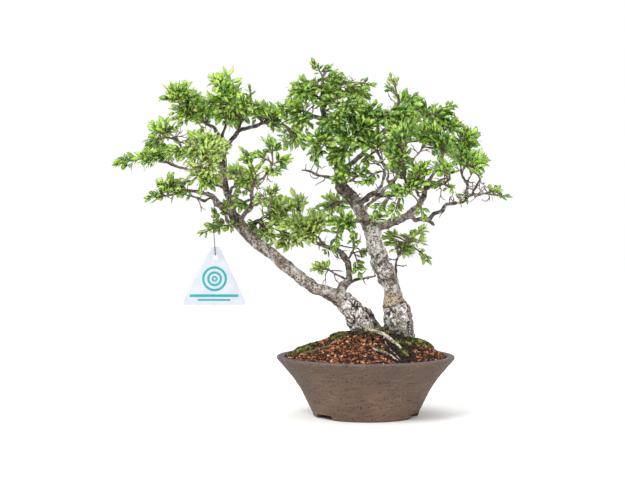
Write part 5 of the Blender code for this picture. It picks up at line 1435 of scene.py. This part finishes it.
for pad in ("moss_left", "moss_middle", "moss_right"):
    shape = bmesh.new()
    shape.from_mesh(frame["nodes"][pad].data)
    bmesh.ops.remove_doubles(shape, verts=shape.verts, dist=SAME_SPOT)
    bmesh.ops.subdivide_edges(shape, edges=shape.edges[:], cuts=3, use_grid_fill=True, smooth=1.0)
    shape.normal_update()
    for vert in shape.verts:
        vert.co += vert.normal * (noise.noise(vert.co * 260.0) * 2.0 - 0.5) * MM
    furry(f"{pad}_cushion", mesh_from(pad, shape), pad)

# %% Moss between the stones
# patch of moss: (x, height, radius), as the viewer sees it on the soil
CREEPING = [(-24, 92, 12), (-14, 94, 9), (-30, 88, 7), (-6, 96, 6), (3, 94, 5), (24, 95, 6), (14, 97, 5), (53, 87, 9),
            (60, 82, 9), (-72, 76, 13), (-84, 72, 9), (46, 82, 7), (34, 82, 6), (44, 72, 6)]
# the spikes stand on the stones, which lie this high on the soil's solid
ON_STONES = Vector((0.0, 0.0, 0.0014))
matrices = []
for x, height, radius in CREEPING:
    middle = on_soil(x, height)
    for _ in range(radius * radius * 3):
        away = radius * MM * min(1.6, abs(rng.gauss(0.0, 0.62)))
        turn = rng.uniform(0.0, math.tau)
        spot = soil_tree.ray_cast(middle + Vector((away * math.cos(turn), away * math.sin(turn), 0.1)), DOWN)[0]
        if spot is None:
            continue
        way = Vector((rng.gauss(0, 0.35), rng.gauss(0, 0.35), 1.0))
        matrices.append(spike_matrix(spot + ON_STONES, way, 0.5, rng.uniform(0.0016, 0.0034)))
add_piece("creeping_moss", repeated("creeping_moss", spike, matrices, False), moss, "moss_green")

# %% [markdown]
# ## The hang tag
# The tag is a sheet of frosted plastic with soft corners and a hole. Its shape is drawn as a flat face with
# beveled corners, given its thickness, then its rim is rounded. The print is plain: three rings and two
# bars, as thin raised ink.

# %% Tag plate
TAG_TALL = 0.0643
TAG_FOOT = 0.0730
TAG_TOP = 0.0086
TAG_LEAN = 0.0015
TAG_THICK = 0.0012
HOLE_UP = 0.0523
HOLE_RADIUS = 0.0032
FACING = Matrix.Rotation(math.pi / 2.0, 4, "X")
tag_low, tag_high = (Vector(corner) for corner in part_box("tag"))
tag_middle = Vector(((tag_low.x + tag_high.x) / 2.0, tag_low.y, tag_low.z))


def tag_outline():
    """Flat tag face with rounded corners in the tag's own plane."""
    shape = bmesh.new()
    foot = TAG_FOOT / 2.0
    top = TAG_TOP / 2.0
    outline = [(-foot, 0.0), (foot, 0.0), (TAG_LEAN + top, TAG_TALL), (TAG_LEAN - top, TAG_TALL)]
    corners = [shape.verts.new((x, 0.0, z)) for x, z in outline]
    shape.faces.new(corners)
    for pair, offset in ((corners[:2], 0.0055), (corners[2:], 0.0025)):
        bmesh.ops.bevel(shape, geom=pair, offset=offset, segments=8, profile=0.5, affect="VERTICES", material=-1)
    return shape


def thicken(shape, depth):
    """Grow the faces backward along +Y by depth."""
    grown = bmesh.ops.extrude_face_region(shape, geom=shape.faces[:])
    moved = [item for item in grown["geom"] if isinstance(item, bmesh.types.BMVert)]
    bmesh.ops.translate(shape, verts=moved, vec=(0.0, depth, 0.0))
    bmesh.ops.recalc_face_normals(shape, faces=shape.faces)


def frosted_recipe(where):
    haze = where.noise(60.0, 2.0)
    return haze.ramp((0.3, paint(166, 170, 180)), (0.7, paint(180, 184, 193))), where.noise(1600.0, 2.0), 0.00006


shape = tag_outline()
thicken(shape, TAG_THICK)
rim = [edge for edge in shape.edges if edge.calc_face_angle(0.0) > 1.2]
bmesh.ops.bevel(shape, geom=rim, offset=0.0002, segments=3, profile=0.5, affect="EDGES", material=-1)
bmesh.ops.translate(shape, verts=shape.verts, vec=tag_middle)
holder = in_scene("tag_plate", mesh_from("tag_plate", shape))
shape = bmesh.new()
lying = Matrix.Translation(tag_middle + Vector((TAG_LEAN, TAG_THICK / 2.0, HOLE_UP))) @ FACING
bmesh.ops.create_cone(shape, cap_ends=True, segments=48, radius1=HOLE_RADIUS, radius2=HOLE_RADIUS, depth=0.01,
                      matrix=lying)
punch = in_scene("punch", mesh_from("punch", shape))
drill = holder.modifiers.new("hole", "BOOLEAN")
drill.object = punch
drill.solver = "MANIFOLD"
tag_mesh = settled(holder)
bpy.data.objects.remove(punch)
tag_mesh.set_sharp_from_angle(angle=math.radians(40.0))
add_piece("tag_plate", tag_mesh, finish("frosted_plastic", frosted_recipe, 0.38), "tag_plastic", "tag")

# %% Print, wire and net
INK_THICK = 0.00012
RING_SIDES = 48
RINGS_AT = (0.0006, 0.0, 0.0290)
# (radius, width) of each ring, and (half width, lowest height, height) of each bar
RINGS = ((0.0138, 0.0026), (0.0082, 0.0024), (0.0032, 0.0018))
BARS = ((0.0270, 0.0088, 0.0030), (0.0180, 0.0046, 0.0020))


def discs(shape):
    return [face for face in shape.faces if len(face.verts) == RING_SIDES]


shape = bmesh.new()
for radius, width in RINGS:
    bmesh.ops.create_circle(shape, segments=RING_SIDES, radius=radius, cap_ends=True,
                            matrix=Matrix.Translation(RINGS_AT) @ FACING)
    bmesh.ops.inset_region(shape, faces=discs(shape), thickness=width, use_boundary=True, use_even_offset=True)
    bmesh.ops.delete(shape, geom=discs(shape), context="FACES")
for half, low, tall in BARS:
    corners = [(-half, low), (half, low), (half, low + tall), (-half, low + tall)]
    shape.faces.new([shape.verts.new((x, 0.0, z)) for x, z in corners])
thicken(shape, INK_THICK)
bmesh.ops.translate(shape, verts=shape.verts, vec=tag_middle + Vector((0.0, -0.00010, 0.0)))
teal = finish("teal_ink", two_shades(90.0, (8, 128, 131), (14, 143, 144)), 0.4)
add_piece("tag_print", mesh_from("tag_print", shape, False), teal, "tag_plastic")
wire = finish("dark_wire", two_shades(800.0, (40, 38, 38), (74, 70, 68)), 0.4, Metallic=0.6)
paint_over(frame["nodes"]["tag_hook"].data, wire)
net = finish("net_plastic", two_shades(500.0, (22, 30, 24), (38, 48, 40)), 0.6)
paint_over(frame["nodes"]["drainage_mesh"].data, net)
